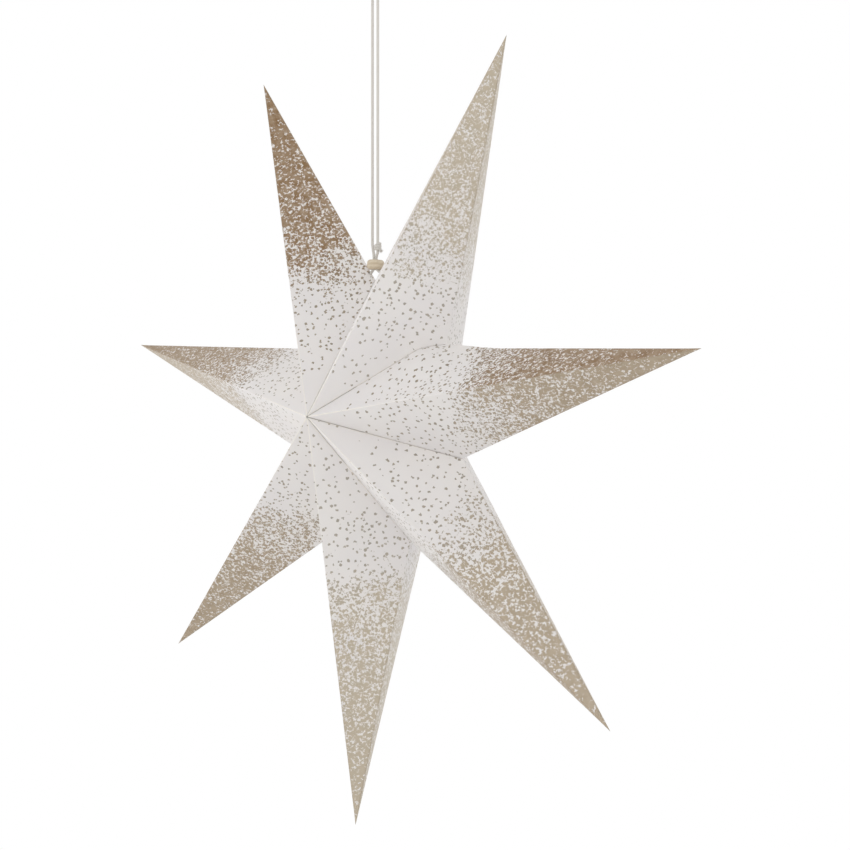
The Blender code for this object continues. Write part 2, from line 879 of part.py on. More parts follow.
def make_socket_sleeve(parent):
    """Threaded metal sleeve under the block, open below and with a hole for the centre contact."""
    top = sleeve_top() - ear_height()
    outside, inside = threaded_outline(SLEEVE_RADIUS, top - SLEEVE_WALL, SLEEVE_LENGTH, SLEEVE_WALL)
    hole = CONTACT_RADIUS + SLEEVE_WALL + CLEARANCE
    outline = [(hole, top), (SLEEVE_RADIUS, top), *outside, *reversed(inside), (hole, top - SLEEVE_WALL)]
    shape = turned(outline, TURN_STEPS, ring=True)
    return mesh_object("socket_sleeve", shape, brass("socket_sleeve"), parent, (0, 0, 0))


def make_centre_contact(parent):
    top = sleeve_top() - ear_height()
    outline = rounded_outline(
        [
            (0, top - CONTACT_DROP, 0),
            (CONTACT_RADIUS, top - CONTACT_DROP, CONTACT_RADIUS / 3),
            (CONTACT_RADIUS, top, 0),
            (0, top, 0),
        ]
    )
    shape = turned(outline, SMALL_TURN_STEPS)
    return mesh_object("centre_contact", shape, brass("centre_contact"), parent, (0, 0, 0))


def make_terminal(side, parent):
    """Slotted screw head on the block's top."""
    low = block_bottom() + BLOCK_HEIGHT + CLEARANCE - ear_height()
    spot = Vector((side * TERMINAL_SPREAD, 0, low))
    outline = rounded_outline(
        [
            (0, 0, 0),
            (TERMINAL_RADIUS, 0, 0),
            (TERMINAL_RADIUS, TERMINAL_HEIGHT, TERMINAL_SLOT / 2),
            (0, TERMINAL_HEIGHT, 0),
        ],
        2,
    )
    name = "terminal_screw_left" if side < 0 else "terminal_screw_right"
    screw = mesh_object(name, turned(outline, SMALL_TURN_STEPS), steel(name), parent, spot)
    slot = bmesh.new()
    size = (TERMINAL_SLOT, 2 * (TERMINAL_RADIUS + OVERRUN), TERMINAL_HEIGHT)
    bmesh.ops.create_cube(slot, size=1, matrix=Matrix.Diagonal((*size, 1)))
    place = spot + Vector((0, 0, TERMINAL_HEIGHT))
    combine(screw, cutter(f"{name}_slot", slot, parent, place), "DIFFERENCE")
    return screw


def make_bulb_contact(parent):
    low = bulb_top() - BULB_CONTACT_HEIGHT
    outline = rounded_outline(
        [
            (0, low, 0),
            (BULB_CONTACT_RADIUS, low, 0),
            (BULB_CONTACT_RADIUS, bulb_top(), BULB_CONTACT_HEIGHT / 2),
            (0, bulb_top(), 0),
        ]
    )
    shape = turned(outline, SMALL_TURN_STEPS)
    return mesh_object("bulb_contact", shape, nickel("bulb_contact"), parent, -parent_place(parent))


def parent_place(parent):
    """World place of an empty in a chain of unturned empties."""
    place = Vector((0, 0, 0))
    while parent:
        place += parent.location
        parent = parent.parent
    return place


def make_bulb_insulator(parent):
    top = insulator_top()
    low = top - INSULATOR_HEIGHT
    outline = [
        (0, low),
        (BULB_CAP_RADIUS - THREAD_DEPTH, low),
        (BULB_CONTACT_RADIUS + CLEARANCE, top),
        (0, top),
    ]
    shape = turned(outline, TURN_STEPS)
    return mesh_object("bulb_insulator", shape, black_glass("bulb_insulator"), parent, -parent_place(parent))


def make_bulb_cap(parent):
    top = bulb_cap_top()
    length = BULB_CAP_LENGTH - BULB_CAP_WALL
    outside, inside = threaded_outline(BULB_CAP_RADIUS, top - BULB_CAP_WALL, length, BULB_CAP_WALL)
    outline = [(0, top), (BULB_CAP_RADIUS, top), *outside, *reversed(inside), (0, top - BULB_CAP_WALL)]
    shape = turned(outline, TURN_STEPS)
    return mesh_object("bulb_cap", shape, nickel("bulb_cap"), parent, -parent_place(parent))


def make_bulb_base(parent):
    """White base that widens from the screw cap to a straight rim, hollow and open below."""
    top = bulb_base_top()
    mouth = top - BULB_BASE_LENGTH
    flare = BULB_BASE_LENGTH - BULB_BASE_RIM
    flare_steps = 8
    flare_power = 1.6
    outer = [(0, top), (BULB_CAP_RADIUS, top)]
    inner = []
    for step in range(1, flare_steps + 1):
        share = step / flare_steps
        radius = BULB_CAP_RADIUS + (BULB_BASE_RADIUS - BULB_CAP_RADIUS) * share**flare_power
        outer.append((radius, top - flare * share))
        inner.append((radius - BULB_BASE_WALL, top - flare * share))
    outer.append((BULB_BASE_RADIUS, mouth))
    inner.append((BULB_BASE_RADIUS - BULB_BASE_WALL, mouth))
    shape = turned([*outer, *reversed(inner), (0, inner[0][1])], TURN_STEPS)
    return mesh_object("bulb_base", shape, white_plastic("bulb_base"), parent, -parent_place(parent))


def make_led_board(parent):
    """Round board in the mouth of the base, with its light emitters on the underside."""
    low = globe_top() + CLEARANCE
    top = low + BOARD_THICKNESS
    outline = [(0, low), (board_radius(), low), (board_radius(), top), (0, top)]
    shape = turned(outline, TURN_STEPS)
    board = mesh_object("led_board", shape, board_white("led_board"), parent, -parent_place(parent))
    for index in range(EMITTER_COUNT):
        angle = 2 * math.pi * index / EMITTER_COUNT
        spot = Vector((EMITTER_CIRCLE_RADIUS * math.cos(angle), EMITTER_CIRCLE_RADIUS * math.sin(angle), low))
        emitter = bmesh.new()
        size = (EMITTER_SIZE, EMITTER_SIZE, 2 * EMITTER_HEIGHT)
        matrix = Matrix.Rotation(angle, 4, "Z") @ Matrix.Diagonal((*size, 1))
        bmesh.ops.create_cube(emitter, size=1, matrix=matrix)
        block = cutter(f"emitter_{index + 1}", emitter, parent, spot - parent_place(parent))
        combine(board, block, "UNION")
    return board


def make_bulb_globe(parent):
    """Opal globe cut off at its neck, where a thinner lip enters the base."""
    neck = BULB_BASE_RADIUS
    lip = lip_radius()
    top = globe_top()
    middle = top - math.sqrt(GLOBE_RADIUS**2 - neck**2)
    inner_radius = GLOBE_RADIUS - GLOBE_WALL
    steps = 12
    outer = ball_profile(GLOBE_RADIUS, neck, middle, steps)
    inner = ball_profile(inner_radius, lip - GLOBE_WALL, middle, steps)
    rim = [(lip, top), (lip, top + GLOBE_LIP), (lip - GLOBE_WALL, top + GLOBE_LIP)]
    shape = turned([*outer, *rim, *reversed(inner)], TURN_STEPS)
    return mesh_object("bulb_globe", shape, opal_plastic("bulb_globe"), parent, -parent_place(parent))


def ball_profile(radius, neck, middle, steps):
    """Half outline of a ball from its lowest point up to where it narrows to the neck."""
    last = math.pi - math.asin(neck / radius)
    angles = [last * step / steps for step in range(steps + 1)]
    return [(radius * math.sin(angle), middle - radius * math.cos(angle)) for angle in angles]


def make_holder(parent):
    make_holder_cap(parent)
    make_gland(parent)
    make_holder_body(parent)
    make_contact_block(parent)
    make_socket_sleeve(parent)
    make_centre_contact(parent)
    make_terminal(-1, parent)
    make_terminal(1, parent)


def make_bulb(parent):
    make_bulb_contact(parent)
    make_bulb_insulator(parent)
    make_bulb_cap(parent)
    make_bulb_base(parent)
    make_led_board(parent)
    make_bulb_globe(parent)


def make_cords(loop_axis):
    tube("hanging_cord", hanging_route(), CORD_RADIUS, cotton("hanging_cord"), None, (0, 0, 0))
    tube("cord_lead", lead_route(), CORD_RADIUS, cotton("cord_lead"), None, (0, 0, 0))
    make_knot(None)
    place = -loop_axis.location
    tube("closing_loop", closing_route(), CORD_RADIUS, cotton("closing_loop"), loop_axis, place)
    make_bead(loop_axis)


def main():
    clear_scene()
    turn_axis = empty_at("turn_axis", Vector((0, 0, cord_split())))
    make_cords(turn_axis)
    star_pivot = empty_at("star_pivot", pivot_place() - turn_axis.location, turn_axis)
    make_star(star_pivot)
    loop_low = Vector((0, 0, loop_bottom()))
    bail_pivot = empty_at("bail_pivot", loop_low - turn_axis.location, turn_axis)
    make_bail(bail_pivot)
    ears = Vector((0, 0, ear_height()))
    holder_pivot = empty_at("holder_pivot", ears - loop_low, bail_pivot)
    make_holder(holder_pivot)
    bulb_place = Vector((0, 0, bulb_top()))
    bulb_axis = empty_at("bulb_axis", bulb_place - ears, holder_pivot)
    make_bulb(bulb_axis)


main()
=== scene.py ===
"""Look of the paper star lantern: printed card points, cotton cord, wooden bead and the lamp inside.

Metres, +Z up, in the frame of the CAD model. The star faces -Y.
"""

import math

import bmesh
import bpy
from mathutils import Matrix, Vector, noise


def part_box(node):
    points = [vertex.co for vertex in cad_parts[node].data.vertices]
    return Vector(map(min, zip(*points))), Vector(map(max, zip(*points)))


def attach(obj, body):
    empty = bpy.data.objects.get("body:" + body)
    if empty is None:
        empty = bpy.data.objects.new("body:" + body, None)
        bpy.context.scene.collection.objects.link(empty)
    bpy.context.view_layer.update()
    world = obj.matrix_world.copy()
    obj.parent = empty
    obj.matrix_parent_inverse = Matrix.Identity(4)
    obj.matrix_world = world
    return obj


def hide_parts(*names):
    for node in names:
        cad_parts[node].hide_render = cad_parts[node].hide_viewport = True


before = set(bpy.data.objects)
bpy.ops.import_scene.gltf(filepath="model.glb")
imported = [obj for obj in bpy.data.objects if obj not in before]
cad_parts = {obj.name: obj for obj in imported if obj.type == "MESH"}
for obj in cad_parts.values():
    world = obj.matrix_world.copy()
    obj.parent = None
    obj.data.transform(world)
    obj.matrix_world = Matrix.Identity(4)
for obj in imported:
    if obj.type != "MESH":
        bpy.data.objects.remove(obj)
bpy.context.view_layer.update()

# Camera
CAMERA_PLACE = (0.7947, -0.7549, -0.3427)
CAMERA_LOOK = (-0.7010, 0.7131, 0.0050)
CAMERA_LENS = 61.77
SENSOR_WIDTH = 36

# Lights, each with its name, place, size and power
LIGHT_TARGET = Vector((0, 0, -0.34))
LIGHTS = (
    ("key", (1.0, -2.2, 0.2), 1.8, 8),
    ("fill", (-1.9, -1.3, -0.6), 1.8, 6),
    ("side", (2.2, 0.9, -0.1), 1.6, 4),
    ("left", (-2.3, -0.7, -0.34), 1.6, 5.5),
)

# Stage
STUDIO_LEVEL = 0.84
FLOOR_RADIUS = 2.6
FLOOR_HEIGHT = -1.45
FLOOR_SIDES = 96

# Cord, bead and knot
CORD_RADIUS = 0.0011
CLEARANCE = 0.0003
KNOT_HEIGHT = 0.0066
KNOT_MIDDLE = -0.203396528
BEAD_BOTTOM = -0.220596528
BEAD_HEIGHT = 0.0074
BEAD_RADIUS = 0.0065
BEAD_BORE_RADIUS = 0.0036
BEAD_MOUTH = 0.0005
BEAD_MOUTH_EDGE = 0.0002
BEAD_SHOULDER = 0.0022
BEAD_ROUND_LOW = 0.0036
BEAD_ROUND_HIGH = 0.0027
BEAD_ARC_STEPS = 10
BEAD_SIDES = 64
BEAD_TILT = 0.0517802
BEAD_WEAR = 0.006
BEAD_WEAR_ROUND = 1.3
BEAD_WEAR_ALONG = 300
BEAD_WIDEST = 1.002

# Cord route, as in the CAD model
PIVOT_DROP = 0.2225
STRAND_PINCH = CORD_RADIUS + CLEARANCE / 2
STRAND_SPREAD = 0.0029
SPREAD_LENGTH = 0.009
PINCH_LIFT = 0.0005
SPREAD_LIFT = 0.003
BIGHT_HALF_WIDTH = 0.0048
BIGHT_TAPER = 0.014
CORD_SPLIT = BEAD_BOTTOM + BEAD_HEIGHT / 2
CORD_RISE = 0.0056
LOOP_HALF_WIDTH = 0.0086
LOOP_DEPTH = 0.0175
CROSSINGS = (0.0051748, 0.0042142)
LEAN_STEPS = 6
SIDE_STEPS = 10
BEND_STEPS = 14
RUN_STEPS = 30

# Twist of the cord
ROPE_STEP = 0.0004
ROPE_PITCH = 0.0052
ROPE_SIDES = 24
PLIES = 3
PLY_ROUNDNESS = 0.7
GROOVE_DEPTH = 0.16
GROOVE_NARROWNESS = 1.5
FUZZ = 0.02
FUZZ_ROUND = 3
FUZZ_ALONG = 900
FUZZ_PIECE = 50
YARN_ACROSS = 2.4
YARN_ALONG = 0.12

# Winds of the knot, and the cord's end that sticks out below it
WIND_RADIUS = 0.00185
WIND_TURNS = 2.35
WIND_START = 0.6
WIND_SPOTS = 90
WIND_EASE = 0.12
WIND_TILT = 0.0007
WIND_ROUTE_STEPS = 300
WIND_STEP = 0.00035
WIND_SIDES = 20
WIND_TRAVELLED = 0.4
END_WAY = Vector((1, -0.2, -0.8)).normalized()
END_REACH = 0.0058
END_SAG = 0.0004
END_SPOTS = 10

# Loose fibres at the cord's end
FIBRE_COUNT = 14
FIBRE_FILL = 0.8
FIBRE_TURN = 2.399963
FIBRE_RADIUS = 0.00016
FIBRE_PITCH = 0.002
FIBRE_PLIES = 2
FIBRE_SIDES = 6
FIBRE_TRAVELLED = 0.9
FIBRE_TRAVELLED_STEP = 0.01
FIBRE_STEP = 0.0003
FIBRE_REACH = 0.0010
FIBRE_REACH_SPREAD = 0.0005
FIBRE_ROOT = 0.0003
FIBRE_BEND = 0.00015
FIBRE_LEAN = 0.9

# Star of folded card, as in the CAD model
STAR_FRONT = Vector((0, -0.067651, -0.3316))
STAR_BACK = Vector((0, 0.082349, -0.3376))
STAR_PLACE = Vector((0, -0.009651, -0.3376))
POINT_COUNT = 7
TIP_RADIUS = 0.300
VALLEY_RADIUS = 0.093
VALLEY_SETBACK = 0.010
CLOSING_RADIUS = 0.1095
STAR_ROLL_DEGREES = 2.1
TIP_TURN_DEGREES = (0, -2, 0, 0, 2, 1, 0)
CARD = 0.0004
TAB_WIDTH = 0.008
TAB_REACH_SHARE = 0.72

# Folds of the card and how it swells between them
FOLD = 0.0006
FOLD_SHARE = 0.12
SUPPORT = 0.0009
SUPPORT_SHARE = 0.1
BULGE = 0.0011
WAVE = 0.0008
WAVE_ACROSS = 2.1
WAVE_ALONG = 4.2
WAVE_POINT_SHIFT = 5.3
WAVE_SIDE_SHIFT = 3.7
SWELL_FULL = 0.3
SIDE_COLUMNS = 12
ARC_COLUMNS = 4
NEAR_ROWS = (0.0, 0.0022, 0.006, 0.014)
ROW_COUNT = 42
LAST_ROW = 0.986
# How far the first rows at the mouth count as folds, for the print's wear and the painted highlight
# there.
MOUTH_WEAR_AND_HIGHLIGHT = (1.0, 0.5)
TAB_ROWS = (0.12, 0.5, 1.0)
SHARP_ANGLE = math.radians(50)
MERGE = 0.000001

# Bow of the seam between the first two points
BOW = 0.009
BOW_WAY = Vector((0, -0.35, 0.94)).normalized()
BOW_PEAK = 0.84
BOW_AT_CORNER = 0.3
BOW_REACH = 0.055
BOW_LEAST_SHARE = 0.05

# Punched holes of the two end points
HOLE_RADIUS = 0.0016
HOLE_DEPTH = 0.012
HOLE_SIDES = 32

# Material places of a card point
CARD_INSIDE = 1
CARD_EDGE = 2

# Light that goes through card and through plastic
CARD_GLOW = {
    "Subsurface_Weight": 0.45,
    "Subsurface_Radius": (1.6, 1.5, 1.4),
    "Subsurface_Scale": CARD,
}
PLASTIC_GLOW_RADIUS = (1.0, 0.96, 0.92)
PLASTIC_GLOW_DEPTH = 0.004

# Print of each point: where its net starts, how fast it grows, how dark it is left and right of the
# ridge (partly the print's own tone, partly painted shade of how each facet faces the light), and how
# fine it is
PRINTS = (
    (0.455, 1.00, 0.06, 0.03, 1.30),
    (0.415, 1.10, 1.00, 0.42, 1.00),
    (0.450, 1.12, 0.28, 0.60, 0.85),
    (0.400, 1.00, 0.03, 0.20, 0.92),
    (0.360, 1.00, 0.50, 0.40, 0.85),
    (0.380, 1.10, 0.30, 0.78, 0.95),
    (0.372, 1.05, 0.80, 1.00, 0.85),
)
NET_START = 0.36

# What the print's material reads at each vertex, and how far apart the points lie on the print
CARD_LAYERS = ("along", "crease", "share", "dark", "fineness")
SHEET_SHIFT = (1.37, 0.71)

# How far the net is filled as the print grows
NET_LEVELS = (
    (0.0, 0.0),
    (0.31, 0.22),
    (0.37, 0.40),
    (0.46, 0.485),
    (0.58, 0.53),
    (0.78, 0.575),
    (1.0, 0.68),
)

# Loose dots: their scale, smallest and largest size, and how many there are as the print grows
DOTS = (
    (150, 0.10, 0.175, ((0.0, 0.10), (0.04, 0.45), (0.16, 0.85), (0.4, 1.0))),
    (260, 0.12, 0.25, ((0.0, 0.0), (0.05, 0.06), (0.20, 0.17), (0.33, 0.50), (0.42, 0.85))),
)

# Bulb globe, as in the CAD model
GLOBE_RADIUS = 0.0225
GLOBE_WALL = 0.001
GLOBE_NECK_RADIUS = 0.0165
GLOBE_LIP_RADIUS = 0.015
GLOBE_LIP = 0.0015
GLOBE_ARC_STEPS = 32
GLOBE_SIDES = 96


# Camera and lights
def add_object(name, data):
    thing = bpy.data.objects.new(name, data)
    bpy.context.scene.collection.objects.link(thing)
    return thing


def look_rotation(direction):
    return Vector(direction).to_track_quat("-Z", "Y").to_euler()


def make_camera():
    data = bpy.data.cameras.new("camera")
    data.lens = CAMERA_LENS
    data.sensor_width = SENSOR_WIDTH
    camera = add_object("camera", data)
    camera.location = CAMERA_PLACE
    camera.rotation_euler = look_rotation(CAMERA_LOOK)
    bpy.context.scene.camera = camera


def make_lights():
    for name, place, size, power in LIGHTS:
        data = bpy.data.lights.new(name, "AREA")
        data.shape = "DISK"
        data.size = size
        data.energy = power
        light = add_object(name, data)
        light.location = place
        light.rotation_euler = look_rotation(LIGHT_TARGET - Vector(place))


# Node materials
class Nodes:
    """Short hand for building one node material."""

    def __init__(self, name):
        self.material = bpy.data.materials.new(name)
        self.material.use_nodes = True
        self.tree = self.material.node_tree
        self.shader = self.tree.nodes["Principled BSDF"]

    def new(self, kind, inputs=None, **settings):
        node = self.tree.nodes.new(kind)
        for name, value in settings.items():
            setattr(node, name, value)
        for name, value in (inputs or {}).items():
            self.put(node.inputs[name], value)
        return node

    def put(self, socket, value):
        if isinstance(value, bpy.types.NodeSocket):
            self.tree.links.new(value, socket)
        else:
            socket.default_value = value

    def math(self, operation, first, second):
        return self.new("ShaderNodeMath", {0: first, 1: second}, operation=operation).outputs[0]

    def plus(self, first, second):
        return self.math("ADD", first, second)

    def minus(self, first, second):
        return self.math("SUBTRACT", first, second)

    def times(self, first, second):
        return self.math("MULTIPLY", first, second)

    def vector(self, operation, first, second):
        """Vector maths. The second value is a number where the operation is SCALE."""
        inputs = {0: first, "Scale" if operation == "SCALE" else 1: second}
        return self.new("ShaderNodeVectorMath", inputs, operation=operation).outputs[0]

    def centred(self, pattern):
        return self.vector("SUBTRACT", pattern, (0.5, 0.5, 0.5))

    def shifted(self, place, shift, amount):
        return self.vector("ADD", place, self.vector("SCALE", shift, amount))

    def spread(self, value, low, high, to_low=0.0, to_high=1.0, smooth=False):
        kind = "SMOOTHSTEP" if smooth else "LINEAR"
        inputs = {"Value": value, 1: low, 2: high, 3: to_low, 4: to_high}
        return self.new("ShaderNodeMapRange", inputs, interpolation_type=kind).outputs["Result"]

    def mix(self, share, first, second):
        inputs = {0: share, 6: first, 7: second}
        return self.new("ShaderNodeMix", inputs, data_type="RGBA").outputs[2]

    def stained(self, base, pattern, low, high, amount, stain):
        """The base colour with the stain's colour where the pattern is high."""
        return self.mix(self.spread(pattern, low, high, 0.0, amount), base, stain)

    def noise(self, place, scale, detail, roughness=0.5, distortion=0.0, flat=False, output="Fac"):
        inputs = {
            "Vector": place,
            "Scale": scale,
            "Detail": detail,
            "Roughness": roughness,
            "Distortion": distortion,
        }
        dimensions = "2D" if flat else "3D"
        return self.new("ShaderNodeTexNoise", inputs, noise_dimensions=dimensions).outputs[output]

    def ramp(self, value, stops):
        node = self.new("ShaderNodeValToRGB", {0: value})
        points = node.color_ramp.elements
        while len(points) < len(stops):
            points.new(1.0)
        for point, (position, level) in zip(points, stops):
            point.position = position
            point.color = (level, level, level, 1)
        return node.outputs[0]

    def place(self):
        return self.new("ShaderNodeTexCoord").outputs["Object"]

    def sheet(self, name):
        return self.new("ShaderNodeUVMap", uv_map=name).outputs[0]

    def attribute(self, name):
        return self.new("ShaderNodeAttribute", attribute_name=name).outputs["Fac"]

    def bump(self, height, distance, strength):
        inputs = {"Height": height, "Distance": distance, "Strength": strength}
        return self.new("ShaderNodeBump", inputs).outputs["Normal"]

    def finish(self, **sockets):
        for name, value in sockets.items():
            self.put(self.shader.inputs[name.replace("_", " ")], value)
        return self.material


def colour(red, green, blue):
    """Linear colour of an sRGB value from 0 to 255."""
    linear = []
    for level in (red, green, blue):
        share = level / 255
        linear.append(share / 12.92 if share <= 0.04045 else ((share + 0.055) / 1.055) ** 2.4)
    return (*linear, 1.0)


def darker(tone, amount):
    return colour(*(max(level - amount, 0) for level in tone))


def ink_of_print(n, flat, share, dark, fineness):
    """Where the gold is: a ragged net that fills as the print grows, and loose dots of two sizes."""
    shift = n.centred(n.noise(flat, 480, 2, 0.7, flat=True, output="Color"))
    ragged = n.shifted(flat, shift, 0.0042)
    uneven = n.shifted(flat, shift, 0.0022)
    fine = n.noise(n.vector("SCALE", ragged, fineness), 520, 1.5, 0.6, 0.3, flat=True)
    patches = n.minus(n.noise(flat, 150, 2, flat=True), 0.5)
    net = n.plus(fine, n.times(patches, 0.30))
    net = n.minus(net, n.times(dark, 0.035))
    ink = n.spread(n.minus(n.ramp(share, NET_LEVELS), net), -0.015, 0.015, smooth=True)
    for scale, smallest, largest, presence in DOTS:
        inputs = {"Vector": uneven, "Scale": scale, "Randomness": 0.8}
        cells = n.new("ShaderNodeTexVoronoi", inputs, voronoi_dimensions="2D")
        chance = n.new("ShaderNodeSeparateColor", {0: cells.outputs["Color"]})
        size = n.spread(chance.outputs[0], 0, 1, smallest, largest)
        inside = n.spread(n.minus(size, cells.outputs["Distance"]), -0.02, 0.02, smooth=True)
        present = n.math("LESS_THAN", chance.outputs[1], n.ramp(share, presence))
        ink = n.math("MAXIMUM", ink, n.times(inside, present))
    return ink


def printed_card():
    """White card with a gold print: loose dots near the centre, then a sponged net, then solid tips."""
    n = Nodes("printed_card")
    flat = n.sheet("card")
    along, crease, share, dark, fineness = [n.attribute(name) for name in CARD_LAYERS]
    drift = n.minus(n.noise(flat, 30, 3, 0.6, flat=True), 0.5)
    share = n.plus(share, n.times(drift, 0.25))
    ink = ink_of_print(n, flat, share, dark, fineness)

    worn = n.noise(flat, 700, 2, flat=True)
    fold = n.times(crease, n.spread(worn, 0.45, 0.65))
    ink = n.times(ink, n.minus(1.0, n.times(fold, 0.12)))

    mottle = n.noise(flat, 140, 4, 0.6, flat=True)
    fibre = n.noise(flat, 2600, 3, 0.6, flat=True)
    cloud = n.noise(flat, 18, 2, flat=True)
    # The gold and its loose dots take the facet's darkness: partly the print's own tone, partly painted
    # shade of how the facet faces the light.
    gold = n.mix(dark, colour(188, 177, 158), colour(134, 105, 71))
    loose = n.mix(dark, colour(161, 156, 147), colour(138, 129, 112))
    gold = n.mix(n.spread(share, 0.28, 0.45), loose, gold)
    gold = n.stained(gold, mottle, 0.3, 0.7, 0.35, colour(205, 190, 170))
    white = n.stained(colour(229, 225, 224), cloud, 0.3, 0.7, 1.0, colour(233, 229, 226))
    white = n.stained(white, fibre, 0.35, 0.7, 0.25, colour(216, 212, 209))
    # The tint between the gold takes the facet's darkness too, partly painted shade.
    tint = n.mix(dark, colour(216, 209, 198), colour(200, 183, 160))
    white = n.stained(white, share, 0.42, 0.8, 0.12, tint)
    # Pale line along the folds near the centre: partly the print cracked off the fold, partly a painted
    # highlight on its edge.
    near = n.spread(along, 0.08, 0.32, 1.0, 0.0)
    fold_crack_and_highlight = n.times(n.times(crease, near), 0.80)
    base = n.mix(fold_crack_and_highlight, n.mix(ink, white, gold), colour(240, 234, 224))
    # Painted shade along the folds far out on the points, where the facet beyond the fold turns away
    # from the light.
    far = n.spread(along, 0.38, 0.55)
    painted_fold_shade = n.times(n.times(crease, far), 0.32)
    base = n.mix(painted_fold_shade, base, colour(146, 130, 108))

    height = n.plus(n.times(fibre, 0.5), n.times(ink, 0.35))
    rough = n.spread(ink, 0.0, 1.0, 0.66, 0.46)
    return n.finish(
        Base_Color=base,
        Roughness=n.plus(rough, n.spread(mottle, 0.3, 0.7, -0.04, 0.04)),
        Metallic=n.times(ink, 0.22),
        Normal=n.bump(height, 0.00006, 0.6),
        Specular_IOR_Level=0.35,
        **CARD_GLOW,
    )


def bare_card(name, tone):
    """Uncoated inside of the card, and its cut edge."""
    n = Nodes(name)
    place = n.place()
    fibre = n.noise(place, 1800, 4, 0.65)
    cloud = n.noise(place, 30, 3)
    base = n.stained(colour(*tone), fibre, 0.3, 0.7, 0.4, darker(tone, 16))
    return n.finish(
        Base_Color=n.stained(base, cloud, 0.35, 0.65, 0.3, darker(tone, 8)),
        Roughness=n.spread(fibre, 0.3, 0.7, 0.78, 0.9),
        Normal=n.bump(fibre, 0.00008, 0.5),
        Specular_IOR_Level=0.25,
        **CARD_GLOW,
    )


def cotton():
    """Off-white cotton yarn: fibres follow the twist, with a few darker flecks of seed."""
    n = Nodes("cotton")
    fibre = n.noise(n.sheet("yarn"), 26, 3, 0.6, flat=True)
    place = n.place()
    patch = n.noise(place, 220, 3)
    fleck = n.noise(place, 900, 1)
    base = n.stained(colour(232, 229, 224), fibre, 0.3, 0.7, 1.0, colour(206, 202, 195))
    base = n.stained(base, patch, 0.35, 0.65, 0.35, colour(215, 209, 200))
    # Painted shade in the grooves between the plies.
    base = n.stained(base, n.attribute("groove_shade"), 0.0, 1.0, 0.55, colour(158, 154, 148))
    base = n.stained(base, fleck, 0.68, 0.74, 0.5, colour(150, 132, 108))
    return n.finish(
        Base_Color=base,
        Roughness=n.spread(fibre, 0.3, 0.7, 0.82, 0.95),
        Normal=n.bump(fibre, 0.00012, 0.7),
        Sheen_Weight=0.25,
        Sheen_Roughness=0.5,
        Specular_IOR_Level=0.2,
    )


def pale_wood():
    """Unvarnished pale wood, turned across its grain: soft growth bands, fibres and a few pores."""
    n = Nodes("pale_wood")
    place = n.place()
    bend = n.centred(n.noise(place, 140, 3, 0.6, output="Color"))
    grown = n.shifted(place, bend, 0.0030)
    rings = n.new(
        "ShaderNodeTexWave",
        {"Vector": grown, "Scale": 95, "Distortion": 1.2, "Detail": 3, "Detail Scale": 2.0},
        wave_type="BANDS",
        bands_direction="Z",
    ).outputs["Fac"]
    drawn_out = n.vector("MULTIPLY", grown, (0.14, 0.14, 1))
    fibre = n.noise(drawn_out, 3000, 4, 0.65)
    pores = n.noise(drawn_out, 1500, 2, 0.6)
    patch = n.noise(place, 160, 2)
    base = n.mix(rings, colour(219, 206, 184), colour(199, 183, 157))
    base = n.stained(base, patch, 0.35, 0.65, 0.4, colour(225, 214, 196))
    base = n.stained(base, fibre, 0.35, 0.7, 0.35, colour(184, 165, 136))
    base = n.stained(base, pores, 0.66, 0.74, 0.6, colour(150, 126, 96))
    return n.finish(
        Base_Color=base,
        Roughness=n.spread(fibre, 0.3, 0.7, 0.5, 0.66),
        Normal=n.bump(n.plus(fibre, n.times(rings, 0.5)), 0.00008, 0.5),
        Specular_IOR_Level=0.35,
    )


def moulded(name, tone, rough, grain=900, glow=0.0):
    """Moulded plastic: a fine spark-eroded skin, faint flow clouds in the colour and light scuffs."""
    n = Nodes(name)
    place = n.place()
    skin = n.noise(place, grain, 3, 0.6)
    cloud = n.noise(place, 55, 2)
    scuff = n.noise(place, 240, 4, 0.7, 1.0)
    base = n.stained(colour(*tone), cloud, 0.3, 0.7, 1.0, darker(tone, 9))
    return n.finish(
        Base_Color=n.stained(base, scuff, 0.62, 0.74, 0.25, darker(tone, 30)),
        Roughness=n.spread(skin, 0.3, 0.7, rough - 0.06, rough + 0.08),
        Normal=n.bump(skin, 0.00004, 0.5),
        Subsurface_Weight=glow,
        Subsurface_Radius=PLASTIC_GLOW_RADIUS,
        Subsurface_Scale=PLASTIC_GLOW_DEPTH,
    )


def metal(name, tone, rough, stretch, scale=1600):
    """Drawn or turned metal: fine lines, a little tarnish and uneven gloss."""
    n = Nodes(name)
    place = n.place()
    lines = n.noise(n.vector("MULTIPLY", place, stretch), scale, 3, 0.6)
    tarnish = n.noise(place, 180, 4, 0.65)
    dull = colour(*(int(level * 0.72) for level in tone))
    base = n.stained(colour(*tone), tarnish, 0.5, 0.75, 0.5, dull)
    lined = n.spread(lines, 0.3, 0.7, rough - 0.06, rough + 0.08)
    return n.finish(
        Base_Color=base,
        Roughness=n.plus(lined, n.spread(tarnish, 0.5, 0.8, 0.0, 0.15)),
        Metallic=1.0,
        Normal=n.bump(lines, 0.00002, 0.4),
    )


# Meshes
def mesh_object(name, shape, materials):
    """An object with the mesh of a bmesh, which ends here."""
    mesh = bpy.data.meshes.new(name)
    shape.to_mesh(mesh)
    shape.free()
    for material in materials:
        mesh.materials.append(material)
    return add_object(name, mesh)


def bridge(shape, low, high):
    """Smooth faces between two rings of the same count."""
    faces = []
    for step in range(len(low)):
        after = (step + 1) % len(low)
        faces.append(shape.faces.new((low[step], low[after], high[after], high[step])))
        faces[-1].smooth = True
    return faces


